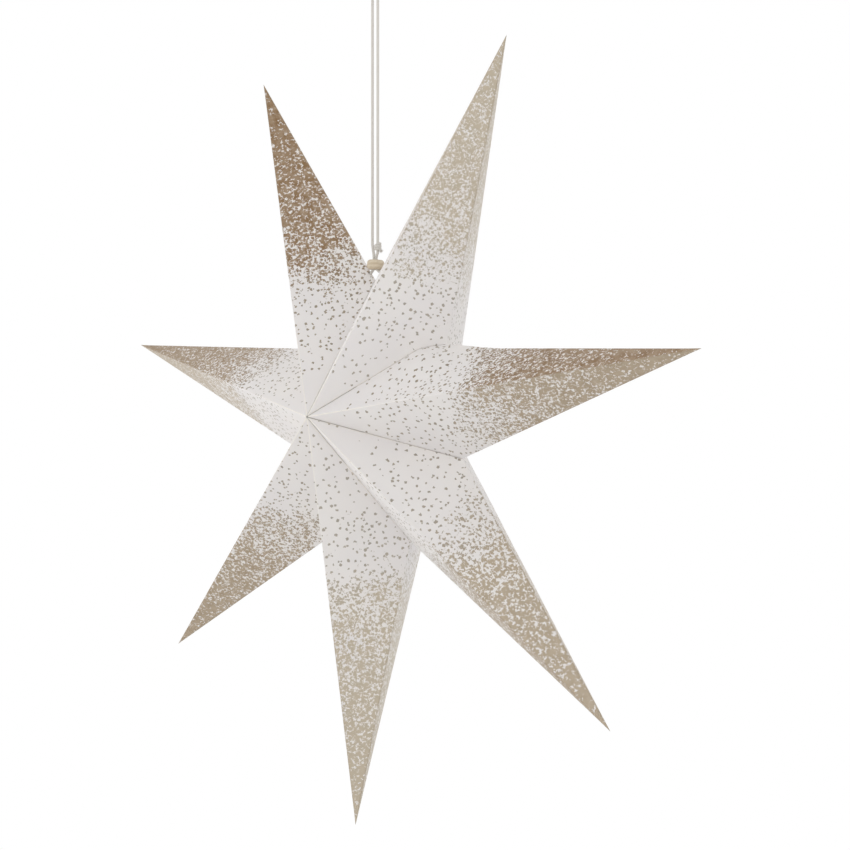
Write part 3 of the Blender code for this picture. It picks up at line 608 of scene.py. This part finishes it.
def turned(outline, sides):
    """Closed ring of revolution about Z from (radius, height) points."""
    shape = bmesh.new()
    rings = []
    for radius, height in outline:
        ring = []
        for step in range(sides):
            angle = 2 * math.pi * step / sides
            ring.append(shape.verts.new((radius * math.cos(angle), radius * math.sin(angle), height)))
        rings.append(ring)
    for low, high in zip(rings, [*rings[1:], rings[0]]):
        bridge(shape, low, high)
    bmesh.ops.recalc_face_normals(shape, faces=shape.faces)
    return shape


def smooth_route(points, steps):
    """Points at even parameter steps on a Catmull-Rom curve through the given points."""
    ends = [2 * points[0] - points[1], *points, 2 * points[-1] - points[-2]]
    spans = len(points) - 1
    route = []
    for step in range(steps + 1):
        along = min(spans * step / steps, spans - 1e-9)
        span = int(along)
        t = along - span
        a, b, c, d = ends[span : span + 4]
        square = (2 * a - 5 * b + 4 * c - d) * t**2
        cube = (3 * b - a - 3 * c + d) * t**3
        route.append(b + (c - a) * t / 2 + square / 2 + cube / 2)
    return route


def evenly(route, step):
    """The same line with points at an even distance."""
    lengths = [0.0]
    for a, b in zip(route, route[1:]):
        lengths.append(lengths[-1] + (b - a).length)
    count = max(2, round(lengths[-1] / step))
    spots = []
    span = 0
    for index in range(count + 1):
        wanted = lengths[-1] * index / count
        while span < len(route) - 2 and lengths[span + 1] < wanted:
            span += 1
        share = (wanted - lengths[span]) / max(lengths[span + 1] - lengths[span], 1e-12)
        spots.append(route[span].lerp(route[span + 1], share))
    return spots


# Cord routes
def leaning_arc(start_across, end_across, drop):
    """Angle and radius of an arc that starts upright and moves across within a drop."""
    lean = 2 * math.atan(abs(end_across - start_across) / drop)
    return lean, drop / math.sin(lean)


def upper_route():
    """Out of the bead, through the knot, over the hook and back into the bead."""
    bead_top = BEAD_BOTTOM + BEAD_HEIGHT
    knot_low = KNOT_MIDDLE - KNOT_HEIGHT / 2 - CLEARANCE - CORD_RADIUS
    upright_from = bead_top + PINCH_LIFT
    lean, radius = leaning_arc(STRAND_PINCH, STRAND_SPREAD, knot_low - upright_from)
    route = [Vector((STRAND_PINCH, 0, CORD_SPLIT + CLEARANCE / 2))]
    for step in range(LEAN_STEPS + 1):
        angle = lean * step / LEAN_STEPS
        across = STRAND_PINCH + radius * (1 - math.cos(angle))
        route.append(Vector((across, 0, upright_from + radius * math.sin(angle))))
    route.append(Vector((STRAND_SPREAD, 0, KNOT_MIDDLE)))
    bend_middle = CORD_RADIUS - BIGHT_HALF_WIDTH
    taper_low = bend_middle - BIGHT_TAPER
    knot_top = KNOT_MIDDLE + KNOT_HEIGHT / 2
    for step in range(RUN_STEPS):
        height = knot_top + (taper_low - knot_top) * step / RUN_STEPS
        route.append(Vector((STRAND_SPREAD, 0, height)))
    taper = []
    for step in range(LEAN_STEPS):
        share = step / LEAN_STEPS
        wider = (BIGHT_HALF_WIDTH - STRAND_SPREAD) * (1 - math.cos(math.pi * share)) / 2
        taper.append(Vector((STRAND_SPREAD + wider, 0, bend_middle - BIGHT_TAPER * (1 - share))))
    bend = []
    for step in range(BEND_STEPS + 1):
        angle = math.pi * step / BEND_STEPS
        height = bend_middle + BIGHT_HALF_WIDTH * math.sin(angle)
        bend.append(Vector((BIGHT_HALF_WIDTH * math.cos(angle), 0, height)))
    over = taper + bend + [Vector((-spot.x, 0, spot.z)) for spot in reversed(taper)]
    spread_from = bead_top + SPREAD_LIFT + SPREAD_LENGTH
    fall_end = Vector((-STRAND_SPREAD, 0, spread_from))
    fall = [over[-1].lerp(fall_end, step / RUN_STEPS) for step in range(1, RUN_STEPS + 1)]
    pinch = [
        fall[-1],
        Vector((-(STRAND_SPREAD + STRAND_PINCH) / 2, 0, spread_from - SPREAD_LENGTH / 2)),
        Vector((-STRAND_PINCH, 0, spread_from - SPREAD_LENGTH)),
        Vector((-STRAND_PINCH, 0, CORD_SPLIT + CLEARANCE / 2)),
    ]
    return route + over + fall + smooth_route(pinch, BEND_STEPS)[1:]


def closing_side(crossing):
    """One side of the lower loop as (across, height), from the bead down towards its lowest place."""
    start = CORD_SPLIT - CLEARANCE / 2
    loop_bottom = -PIVOT_DROP - LOOP_DEPTH
    lean, out_radius = leaning_arc(STRAND_PINCH, crossing, start + PIVOT_DROP)
    back_radius = (LOOP_HALF_WIDTH - crossing) / (1 - math.cos(lean))
    widest = -PIVOT_DROP - back_radius * math.sin(lean)
    half = []
    for step in range(SIDE_STEPS):
        angle = lean * step / SIDE_STEPS
        across = STRAND_PINCH + out_radius * (1 - math.cos(angle))
        half.append((across, start - out_radius * math.sin(angle)))
    for step in range(SIDE_STEPS):
        angle = lean * (1 - step / SIDE_STEPS)
        across = LOOP_HALF_WIDTH - back_radius * (1 - math.cos(angle))
        half.append((across, widest + back_radius * math.sin(angle)))
    for step in range(BEND_STEPS):
        angle = math.pi / 2 * step / BEND_STEPS
        height = widest - (widest - loop_bottom) * math.sin(angle)
        half.append((LOOP_HALF_WIDTH * math.cos(angle), height))
    return half


def closing_route():
    """Out of the bead, through both end points' holes and back."""
    left = [Vector((-x, 0, z)) for x, z in closing_side(CROSSINGS[1])]
    right = [Vector((x, 0, z)) for x, z in closing_side(CROSSINGS[0])]
    return [*left, Vector((0, 0, -PIVOT_DROP - LOOP_DEPTH)), *reversed(right)]


# Cord, knot and bead
def sides_along(spots):
    """Two crosswise directions at each spot, carried along without twist."""
    sides = []
    side = None
    for index in range(len(spots)):
        before = spots[max(index - 1, 0)]
        after = spots[min(index + 1, len(spots) - 1)]
        tangent = (after - before).normalized()
        if side is None:
            side = tangent.orthogonal().normalized()
        side = (side - tangent * side.dot(tangent)).normalized()
        sides.append((side, tangent.cross(side)))
    return sides


def rope_mesh(shape, spots, radius, pitch=ROPE_PITCH, plies=PLIES, around=ROPE_SIDES, start=0.0):
    """Twisted cord as a tube whose section turns along it. Adds to a bmesh."""
    uv = shape.loops.layers.uv.get("yarn") or shape.loops.layers.uv.new("yarn")
    # How deep each vertex lies in a groove between the plies, for the painted shade there.
    groove_shade = shape.verts.layers.float.get("groove_shade") or shape.verts.layers.float.new("groove_shade")
    rings = []
    travelled = start
    for index, (spot, (side, other)) in enumerate(zip(spots, sides_along(spots))):
        if index:
            travelled += (spot - spots[index - 1]).length
        phase = 2 * math.pi * travelled / pitch
        ring = []
        for step in range(around):
            angle = 2 * math.pi * step / around
            lobe = abs(math.cos(plies * (angle - phase) / 2)) ** PLY_ROUNDNESS
            thick = radius * (1 - GROOVE_DEPTH + GROOVE_DEPTH * lobe)
            seed = Vector((angle * FUZZ_ROUND, travelled * FUZZ_ALONG, start * FUZZ_PIECE))
            fuzz = noise.noise(seed) * radius * FUZZ
            out = math.cos(angle) * side + math.sin(angle) * other
            vert = shape.verts.new(spot + out * (thick + fuzz))
            vert[groove_shade] = (1 - lobe) ** GROOVE_NARROWNESS
            ring.append(vert)
        rings.append((ring, travelled))
    for (low, low_at), (high, high_at) in zip(rings, rings[1:]):
        for step, face in enumerate(bridge(shape, low, high)):
            places = ((low_at, step), (low_at, step + 1), (high_at, step + 1), (high_at, step))
            for loop, (at, turn) in zip(face.loops, places):
                twist = turn / around - at / pitch
                loop[uv].uv = (twist * plies * YARN_ACROSS, at / radius * YARN_ALONG)
    for (ring, _), spot, flip in ((rings[0], spots[0], True), (rings[-1], spots[-1], False)):
        middle = shape.verts.new(spot)
        for step in range(around):
            pair = (ring[step], ring[(step + 1) % around])
            shape.faces.new((middle, *(reversed(pair) if flip else pair)))


def rope(name, route, material):
    shape = bmesh.new()
    rope_mesh(shape, evenly(route, ROPE_STEP), CORD_RADIUS)
    return mesh_object(name, shape, [material])


def knot_piece(material):
    """Overhand knot drawn tight: the end winds round the strand and sticks out below."""
    middle = Vector((STRAND_SPREAD, 0, KNOT_MIDDLE))
    half = KNOT_HEIGHT / 2 - CORD_RADIUS
    spots = []
    for step in range(WIND_SPOTS):
        share = step / (WIND_SPOTS - 1)
        angle = 2 * math.pi * WIND_TURNS * share - WIND_START
        ease = min(1.0, share / WIND_EASE)
        x = math.cos(angle) * WIND_RADIUS * ease
        y = math.sin(angle) * WIND_RADIUS * ease
        height = half * (1 - 2 * share) + math.sin(angle) * WIND_TILT
        spots.append(middle + Vector((x, y, height)))
    last = spots[-1]
    end = middle + END_WAY * END_REACH
    for step in range(1, END_SPOTS + 1):
        sag = END_SAG * math.sin(math.pi * step / END_SPOTS)
        spots.append(last.lerp(end, step / END_SPOTS) - Vector((0, 0, sag)))
    shape = bmesh.new()
    rope_mesh(
        shape,
        evenly(smooth_route(spots, WIND_ROUTE_STEPS), WIND_STEP),
        CORD_RADIUS,
        around=WIND_SIDES,
        start=WIND_TRAVELLED,
    )
    frayed_end(shape, end, END_WAY)
    return mesh_object("knot", shape, [material])


def frayed_end(shape, end, way):
    """Loose fibres at the cut end of the cord."""
    side = way.orthogonal().normalized()
    other = way.cross(side)
    for index in range(FIBRE_COUNT):
        angle = index * FIBRE_TURN
        out = math.sqrt((index + 0.5) / FIBRE_COUNT) * CORD_RADIUS * FIBRE_FILL
        outward = (side * math.cos(angle) + other * math.sin(angle)) * out
        root = end + outward - way * FIBRE_ROOT
        reach = FIBRE_REACH + FIBRE_REACH_SPREAD * ((index * 7) % 5) / 5
        tip = root + way * reach + outward * FIBRE_LEAN
        spots = evenly([root, root.lerp(tip, 0.5) + way * FIBRE_BEND, tip], FIBRE_STEP)
        rope_mesh(
            shape,
            spots,
            FIBRE_RADIUS,
            pitch=FIBRE_PITCH,
            plies=FIBRE_PLIES,
            around=FIBRE_SIDES,
            start=FIBRE_TRAVELLED + index * FIBRE_TRAVELLED_STEP,
        )


def bead_piece(material):
    """Turned wooden bead with softly worn edges and a funnel at each end of its bore."""
    mouth = BEAD_BORE_RADIUS + BEAD_MOUTH
    edge = BEAD_MOUTH_EDGE
    inner = BEAD_RADIUS - BEAD_SHOULDER
    outline = []
    angles = [math.pi / 2 * step / BEAD_ARC_STEPS for step in range(BEAD_ARC_STEPS + 1)]
    for angle in angles:
        height = BEAD_ROUND_LOW * (1 - math.cos(angle))
        outline.append((inner + BEAD_SHOULDER * math.sin(angle), height))
    for angle in angles:
        height = BEAD_HEIGHT - BEAD_ROUND_HIGH * (1 - math.sin(angle))
        outline.append((inner + BEAD_SHOULDER * math.cos(angle), height))
    outline += [
        (mouth - edge * 0.7, BEAD_HEIGHT - edge * 0.5),
        (BEAD_BORE_RADIUS + edge, BEAD_HEIGHT - BEAD_MOUTH + edge),
        (BEAD_BORE_RADIUS, BEAD_HEIGHT - BEAD_MOUTH - edge),
        (BEAD_BORE_RADIUS, BEAD_MOUTH + edge),
        (BEAD_BORE_RADIUS + edge, BEAD_MOUTH - edge),
        (mouth - edge * 0.7, edge * 0.5),
    ]
    shape = turned(outline, BEAD_SIDES)
    for vert in shape.verts:
        angle = math.atan2(vert.co.y, vert.co.x)
        x = math.cos(angle) * BEAD_WEAR_ROUND
        y = math.sin(angle) * BEAD_WEAR_ROUND
        seed = Vector((x, y, vert.co.z * BEAD_WEAR_ALONG))
        wobble = min(1 + BEAD_WEAR * noise.noise(seed), BEAD_WIDEST)
        vert.co.x *= wobble
        vert.co.y *= wobble
    corner = Vector((0, 0, -PIVOT_DROP - CORD_RISE))
    axis = Vector((math.sin(BEAD_TILT), 0, math.cos(BEAD_TILT)))
    place = corner + axis * (BEAD_BOTTOM - corner.z)
    matrix = Matrix.Translation(place) @ Matrix.Rotation(BEAD_TILT, 4, "Y")
    bmesh.ops.transform(shape, matrix=matrix, verts=shape.verts)
    return mesh_object("wooden_bead", shape, [material])


# Corners of the card points
def around_star(radius, degrees, depth):
    angle = math.radians(degrees)
    return STAR_PLACE + Vector((radius * math.cos(angle), depth, radius * math.sin(angle)))


def seam_corner(index):
    if index % POINT_COUNT == 0:
        return around_star(CLOSING_RADIUS, 90, VALLEY_SETBACK)
    degrees = 90 - STAR_ROLL_DEGREES - index * 360 / POINT_COUNT
    return around_star(VALLEY_RADIUS, degrees, VALLEY_SETBACK)


def seam_normal(index):
    along = STAR_BACK - STAR_FRONT
    return along.cross(seam_corner(index) - STAR_FRONT).normalized()


def tip_place(index):
    turn = TIP_TURN_DEGREES[index] - STAR_ROLL_DEGREES
    return around_star(TIP_RADIUS, 90 - (index + 0.5) * 360 / POINT_COUNT + turn, 0)


def point_corners(index):
    """Front, right, back and left corners of a point's mouth, held off the seams' planes."""
    half = CLEARANCE / 2
    left_in = seam_normal(index)
    right_in = -seam_normal(index + 1)
    centre_in = half * (left_in + right_in) / (1 + left_in.dot(right_in))
    return [
        STAR_FRONT + centre_in,
        seam_corner(index + 1) + half * right_in,
        STAR_BACK + centre_in,
        seam_corner(index) + half * left_in,
    ]


def bowed(place):
    """Place on a sheet after the seam between the first two points has bowed upward."""
    run = seam_corner(1) - STAR_FRONT
    share = (place - STAR_FRONT).dot(run) / run.length_squared
    held = min(max(share, 0.0), 1.0)
    if held < BOW_PEAK:
        rise = held / BOW_PEAK
    else:
        rise = 1 - (1 - BOW_AT_CORNER) * (held - BOW_PEAK) / (1 - BOW_PEAK)
    reach = BOW_REACH * max(held, BOW_LEAST_SHARE)
    off = min((place - STAR_FRONT - run * held).length / reach, 1.0)
    return place + BOW_WAY * BOW * rise * (1 - off) ** 2 * (1 + 2 * off)


# Card points
class CardPoint:
    """Outer sheet of one folded point. Its sides 0 and 1 lie right of its ridges, 2 and 3 left."""

    def __init__(self, index):
        self.index = index
        self.corners = point_corners(index)
        self.tip = tip_place(index)
        self.middle = (self.corners[1] + self.corners[3]) / 2
        self.axis = self.tip - self.corners[0]
        self.flat_tip = (index * SHEET_SHIFT[0], index * SHEET_SHIFT[1])
        self.angles = []
        self.normals = []
        for here, there in zip(self.corners, self.corners[1:] + self.corners[:1]):
            self.angles.append((here - self.tip).angle(there - self.tip))
            normal = (there - here).cross(self.tip - here).normalized()
            self.normals.append(-normal if normal.dot(here - self.middle) < 0 else normal)
        self.shape = bmesh.new()
        self.uv = self.shape.loops.layers.uv.new("card")
        self.layers = {name: self.shape.verts.layers.float.new(name) for name in CARD_LAYERS}

    def rows(self):
        """Shares of the way from the mouth to the tip, closer together near the mouth."""
        count = ROW_COUNT - len(NEAR_ROWS)
        start = NEAR_ROWS[-1]
        far = [start + (LAST_ROW - start) * (step / count) for step in range(1, count + 1)]
        return [*NEAR_ROWS, *far]

    def ring(self, t):
        """Spots of one ring: place, side, whether it is on a fold, and place before it swells."""
        mouth = [corner.lerp(self.tip, t) for corner in self.corners]
        lengths = [(mouth[(side + 1) % 4] - mouth[side]).length for side in range(4)]
        rise = math.sin(min(1.0, t / SWELL_FULL) * math.pi / 2) * (1 - t)
        spots = []
        for side, here in enumerate(mouth):
            next_corner = mouth[(side + 1) % 4]
            before = (mouth[side - 1] - here).normalized()
            after = (next_corner - here).normalized()
            fold = min(FOLD, FOLD_SHARE * min(lengths[side], lengths[side - 1]))
            start = here + before * fold
            end = here + after * fold
            for step in range(ARC_COLUMNS + 1):
                s = step / ARC_COLUMNS
                place = (1 - s) ** 2 * start + 2 * s * (1 - s) * here + s**2 * end
                if s < 0.5:
                    spots.append((place, (side - 1) % 4, 1.0, here + before * fold * (1 - 2 * s)))
                else:
                    spots.append((place, side, 1.0, here + after * fold * (2 * s - 1)))
            inset = (fold + min(SUPPORT, SUPPORT_SHARE * lengths[side])) / lengths[side]
            for step in range(SIDE_COLUMNS):
                across = inset + (1 - 2 * inset) * step / (SIDE_COLUMNS - 1)
                flat = here.lerp(next_corner, across)
                x = across * WAVE_ACROSS + self.index * WAVE_POINT_SHIFT
                seed = Vector((x, t * WAVE_ALONG, side * WAVE_SIDE_SHIFT))
                swell = 4 * across * (1 - across) * rise
                lift = swell * (BULGE + WAVE * noise.noise(seed))
                spots.append((flat + self.normals[side] * lift, side, 0.0, flat))
        return spots

    def unrolled(self, side, spot, closes=False):
        """Place on the sheet laid flat. The column that closes the sheet lies at its far edge."""
        angle = sum(self.angles)
        if not closes:
            turn = (self.corners[side] - self.tip).angle(spot - self.tip, 0.0)
            angle = sum(self.angles[:side]) + turn
        reach = (spot - self.tip).length
        flat_x, flat_y = self.flat_tip
        return (reach * math.cos(angle) + flat_x, reach * math.sin(angle) + flat_y)

    def print_values(self, place, crease, right):
        """What the print's material reads at a place."""
        start, growth, dark_left, dark_right, fineness = PRINTS[self.index]
        along = (place - self.corners[0]).dot(self.axis) / self.axis.length_squared
        return {
            "along": along,
            "crease": crease,
            "share": NET_START + (along - start) * growth,
            "dark": dark_right if right else dark_left,
            "fineness": fineness,
        }

    def new_vert(self, place, crease, side):
        vert = self.shape.verts.new(place)
        for name, value in self.print_values(place, crease, side < 2).items():
            vert[self.layers[name]] = value
        return vert


def card_point(index, materials):
    """One folded point, with rounded folds, its glue tabs and the thickness of its card."""
    point = CardPoint(index)
    shape = point.shape
    first = ARC_COLUMNS // 2
    grid = []
    for row, t in enumerate(point.rows()):
        # The first rows count as folds, for the print's wear and the painted highlight along them.
        wear_and_highlight = MOUTH_WEAR_AND_HIGHLIGHT[row] if row < len(MOUTH_WEAR_AND_HIGHLIGHT) else 0.0
        ring = []
        for place, side, fold, flat in point.ring(t):
            ring.append((point.new_vert(place, max(wear_and_highlight, fold), side), side, flat))
        grid.append(ring[first:] + ring[:first])
    count = len(grid[0])
    for low, high in zip(grid, grid[1:]):
        for column in range(count):
            after = (column + 1) % count
            closes = after == 0
            quad = (low[column], low[after], high[after], high[column])
            face = shape.faces.new([vert for vert, _, _ in quad])
            for loop, (_, side, flat), far in zip(face.loops, quad, (False, closes, closes, False)):
                loop[point.uv].uv = point.unrolled(side, flat, far)
    tip = point.new_vert(point.tip, 1.0, 0)
    for column in range(count):
        after = (column + 1) % count
        vert, side, flat = grid[-1][column]
        next_vert, next_side, next_flat = grid[-1][after]
        face = shape.faces.new((vert, next_vert, tip))
        face.loops[0][point.uv].uv = point.unrolled(side, flat)
        face.loops[1][point.uv].uv = point.unrolled(next_side, next_flat, after == 0)
        face.loops[2][point.uv].uv = point.flat_tip
    add_tabs(point, grid[0])
    if index in (0, 1):
        for vert in shape.verts:
            vert.co = bowed(vert.co)
    bmesh.ops.recalc_face_normals(shape, faces=shape.faces)
    facet = max(shape.faces, key=lambda face: face.calc_area())
    if facet.normal.dot(facet.calc_center_median() - point.middle) < 0:
        bmesh.ops.reverse_faces(shape, faces=shape.faces)
    for face in shape.faces:
        face.smooth = True
    piece = mesh_object(f"card_point_{index + 1}", shape, materials)
    thicken(piece, point)
    return piece


def tab_target(corner, end, other_end, share):
    """Where a place of a seam's edge goes on the tab's free edge. Share runs from the outer corner."""
    toward = (end - corner).normalized()
    away = (other_end - corner).normalized()
    inner = corner + (toward + away) * TAB_WIDTH / math.sin(toward.angle(away))
    reach = TAB_REACH_SHARE * (end - corner).length
    inward = (away - toward * toward.dot(away)).normalized()
    free = corner + toward * (reach - TAB_WIDTH) + inward * TAB_WIDTH
    return inner.lerp(free, share)


def add_tabs(point, ring):
    """Glue tabs folded in along the seams. The closing seam has none."""
    front, right, back, left = point.corners
    for corner, sides, seam in ((right, (0, 1), point.index + 1), (left, (2, 3), point.index)):
        if seam % POINT_COUNT == 0:
            continue
        columns = []
        for vert, side, flat in ring:
            end, other_end = (front, back) if side in (0, 3) else (back, front)
            share = (flat - corner).length / (TAB_REACH_SHARE * (end - corner).length)
            if side not in sides or share > 1:
                continue
            free = tab_target(corner, end, other_end, share)
            fold = vert.co.copy()
            inner = [point.new_vert(fold.lerp(free, depth), 0.0, sides[0]) for depth in TAB_ROWS]
            columns.append([vert, *inner])
        flat_x, flat_y = point.flat_tip
        for one, other in zip(columns, columns[1:]):
            for row in range(len(TAB_ROWS)):
                face = point.shape.faces.new((one[row], one[row + 1], other[row + 1], other[row]))
                for loop in face.loops:
                    reach = (loop.vert.co - point.tip).length
                    loop[point.uv].uv = (reach + flat_x, loop.vert.co.y + flat_y)


def hole_route(index):
    """Where the strand crosses the card of an end point, and its way there."""
    sign, crossing = (1, CROSSINGS[0]) if index == 0 else (-1, CROSSINGS[1])
    lean, _ = leaning_arc(STRAND_PINCH, crossing, CORD_SPLIT - CLEARANCE / 2 + PIVOT_DROP)
    way = Vector((sign * math.sin(lean), 0, -math.cos(lean)))
    return Vector((sign * crossing, 0, -PIVOT_DROP)), way


def hole_punch(index):
    centre, way = hole_route(index)
    shape = bmesh.new()
    bmesh.ops.create_cone(
        shape,
        cap_ends=True,
        segments=HOLE_SIDES,
        radius1=HOLE_RADIUS,
        radius2=HOLE_RADIUS,
        depth=HOLE_DEPTH,
        matrix=Matrix.Translation(centre) @ way.to_track_quat("Z", "Y").to_matrix().to_4x4(),
    )
    for face in shape.faces:
        face.material_index = CARD_EDGE
    return mesh_object("hole_punch", shape, [])


def thicken(piece, point):
    """Card thickness, the punched hole of an end point, then one plain mesh."""
    card = piece.modifiers.new("card", "SOLIDIFY")
    card.thickness = CARD
    card.offset = -1
    card.use_even_offset = True
    card.material_offset = CARD_INSIDE
    card.material_offset_rim = CARD_EDGE
    punch = hole_punch(point.index) if point.index in (0, POINT_COUNT - 1) else None
    if punch:
        hole = piece.modifiers.new("hole", "BOOLEAN")
        hole.object = punch
        hole.operation = "DIFFERENCE"
        hole.solver = "EXACT"
    bpy.context.view_layer.update()
    shown = piece.evaluated_get(bpy.context.evaluated_depsgraph_get())
    final = bpy.data.meshes.new_from_object(shown)
    piece.modifiers.clear()
    piece.data = final
    final.name = piece.name
    final.set_sharp_from_angle(angle=SHARP_ANGLE)
    if punch:
        mend_layers(final, point)
        bpy.data.objects.remove(punch, do_unlink=True)


def mend_layers(mesh, point):
    """Print values of the vertices that the punch made."""
    centre, _ = hole_route(point.index)
    right = point.index != 0
    corner = point.corners[1 if right else 3]
    crease_way = (point.tip - corner).normalized()
    for vert in mesh.vertices:
        if (vert.co - centre).length > HOLE_DEPTH / 2:
            continue
        away = (vert.co - corner).cross(crease_way).length
        crease = 1.0 if away < FOLD / 2 else 0.0
        for name, value in point.print_values(vert.co, crease, right).items():
            mesh.attributes[name].data[vert.index].value = value


# Lamp
def stand_in(piece, node, body):
    """Let a piece stand for one CAD node and move with its body."""
    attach(piece, body)
    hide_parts(node)


def smooth_piece(node, body, material):
    """The shape of a CAD node, shaded smooth between its sharp edges."""
    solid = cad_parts[node].data
    shape = bmesh.new()
    verts = [shape.verts.new(vert.co) for vert in solid.vertices]
    for face in solid.polygons:
        shape.faces.new([verts[number] for number in face.vertices])
    bmesh.ops.remove_doubles(shape, verts=shape.verts, dist=MERGE)
    for face in shape.faces:
        face.smooth = True
    piece = mesh_object(f"{node}_smooth", shape, [material])
    piece.data.set_sharp_from_angle(angle=SHARP_ANGLE)
    stand_in(piece, node, body)


def ball_profile(radius, neck, middle):
    """Half outline of a ball from its lowest point up to where it narrows to the neck."""
    last = math.pi - math.asin(neck / radius)
    angles = [last * step / GLOBE_ARC_STEPS for step in range(GLOBE_ARC_STEPS + 1)]
    return [(radius * math.sin(angle), middle - radius * math.cos(angle)) for angle in angles]


def globe_piece(material):
    """Opal globe, a thin shell that is open at its neck, with a thinner lip that enters the base."""
    low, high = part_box("bulb_globe")
    middle = low[2] + GLOBE_RADIUS
    lip_inside = GLOBE_LIP_RADIUS - GLOBE_WALL
    outer = ball_profile(GLOBE_RADIUS, GLOBE_NECK_RADIUS, middle)
    inner = ball_profile(GLOBE_RADIUS - GLOBE_WALL, lip_inside, middle)
    lip = [
        (GLOBE_LIP_RADIUS, high[2] - GLOBE_LIP),
        (GLOBE_LIP_RADIUS, high[2]),
        (lip_inside, high[2]),
    ]
    shape = turned([*outer, *lip, *reversed(inner)], GLOBE_SIDES)
    bmesh.ops.remove_doubles(shape, verts=shape.verts, dist=MERGE)
    between_poles = [edge for edge in shape.edges if not edge.link_faces]
    bmesh.ops.delete(shape, geom=between_poles, context="EDGES")
    bmesh.ops.recalc_face_normals(shape, faces=shape.faces)
    piece = mesh_object("opal_globe", shape, [material])
    piece.data.set_sharp_from_angle(angle=SHARP_ANGLE)
    stand_in(piece, "bulb_globe", "bulb")


# Stage
def make_floor():
    n = Nodes("floor")
    grain = n.noise(n.place(), 60, 3)
    material = n.finish(
        Base_Color=n.stained(colour(243, 243, 242), grain, 0.3, 0.7, 1.0, colour(239, 239, 238)),
        Roughness=0.85,
        Specular_IOR_Level=0.1,
    )
    shape = bmesh.new()
    bmesh.ops.create_circle(
        shape,
        cap_ends=True,
        segments=FLOOR_SIDES,
        radius=FLOOR_RADIUS,
        matrix=Matrix.Translation((0, 0, FLOOR_HEIGHT)),
    )
    mesh_object("floor", shape, [material])


def make_world():
    """White where it is seen, reflected or seen through, and a little darker as light."""
    world = bpy.data.worlds.new("studio")
    bpy.context.scene.world = world
    world.use_nodes = True
    tree = world.node_tree
    background = tree.nodes["Background"]
    background.inputs["Color"].default_value = (1, 1, 1, 1)
    rays = tree.nodes.new("ShaderNodeLightPath").outputs
    seen = rays["Is Camera Ray"]
    for kind in ("Is Glossy Ray", "Is Transmission Ray"):
        either = tree.nodes.new("ShaderNodeMath")
        either.operation = "MAXIMUM"
        tree.links.new(seen, either.inputs[0])
        tree.links.new(rays[kind], either.inputs[1])
        seen = either.outputs[0]
    strength = tree.nodes.new("ShaderNodeMapRange")
    tree.links.new(seen, strength.inputs["Value"])
    strength.inputs["To Min"].default_value = STUDIO_LEVEL
    strength.inputs["To Max"].default_value = 1.0
    tree.links.new(strength.outputs["Result"], background.inputs["Strength"])


# All pieces
def make_cords():
    yarn = cotton()
    upper = upper_route()
    strands = rope("cord_strands", upper, yarn)
    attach(strands, "cord")
    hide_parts("hanging_cord", "cord_lead")
    knot = knot_piece(yarn)
    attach(knot, "cord")
    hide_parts("cord_knot")
    bead = bead_piece(pale_wood())
    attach(bead, "bead")
    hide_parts("cord_bead")
    low = closing_route()
    loop = rope("seam_loop", low, yarn)
    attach(loop, "closing_loop")
    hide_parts("closing_loop")


def make_star():
    card = [
        printed_card(),
        bare_card("inside_of_card", (232, 229, 224)),
        bare_card("cut_card_edge", (224, 219, 212)),
    ]
    for index in range(POINT_COUNT):
        stand_in(card_point(index, card), f"point_{index + 1}", "star")


def make_lamp():
    white = moulded("white_plastic", (230, 227, 224), 0.42)
    block = moulded("block_plastic", (220, 216, 209), 0.55, 1400)
    wire = metal("steel_wire", (172, 172, 172), 0.3, (1, 1, 0.04))
    screw = metal("steel_screw", (178, 177, 174), 0.34, (1, 1, 1), 1200)
    brass = metal("brass", (205, 174, 112), 0.32, (0.2, 0.2, 1))
    nickel = metal("nickel", (192, 189, 182), 0.28, (0.2, 0.2, 1))
    glass = moulded("black_glass", (38, 36, 36), 0.22, 600)
    board = moulded("board_white", (226, 225, 223), 0.5, 1100)
    for node, body, material in (
        ("lamp_bail", "bail", wire),
        ("holder_cap", "holder", white),
        ("cable_gland", "holder", white),
        ("holder_body", "holder", white),
        ("contact_block", "holder", block),
        ("socket_sleeve", "holder", brass),
        ("centre_contact", "holder", brass),
        ("terminal_screw_left", "holder", screw),
        ("terminal_screw_right", "holder", screw),
        ("bulb_contact", "bulb", nickel),
        ("bulb_insulator", "bulb", glass),
        ("bulb_cap", "bulb", nickel),
        ("bulb_base", "bulb", white),
        ("led_board", "bulb", board),
    ):
        smooth_piece(node, body, material)
    globe_piece(moulded("opal_globe", (238, 235, 231), 0.34, 1500, 0.2))


make_camera()
make_cords()
make_star()
make_lamp()
make_floor()
make_world()
make_lights()
bpy.context.scene.view_settings.view_transform = "Standard"
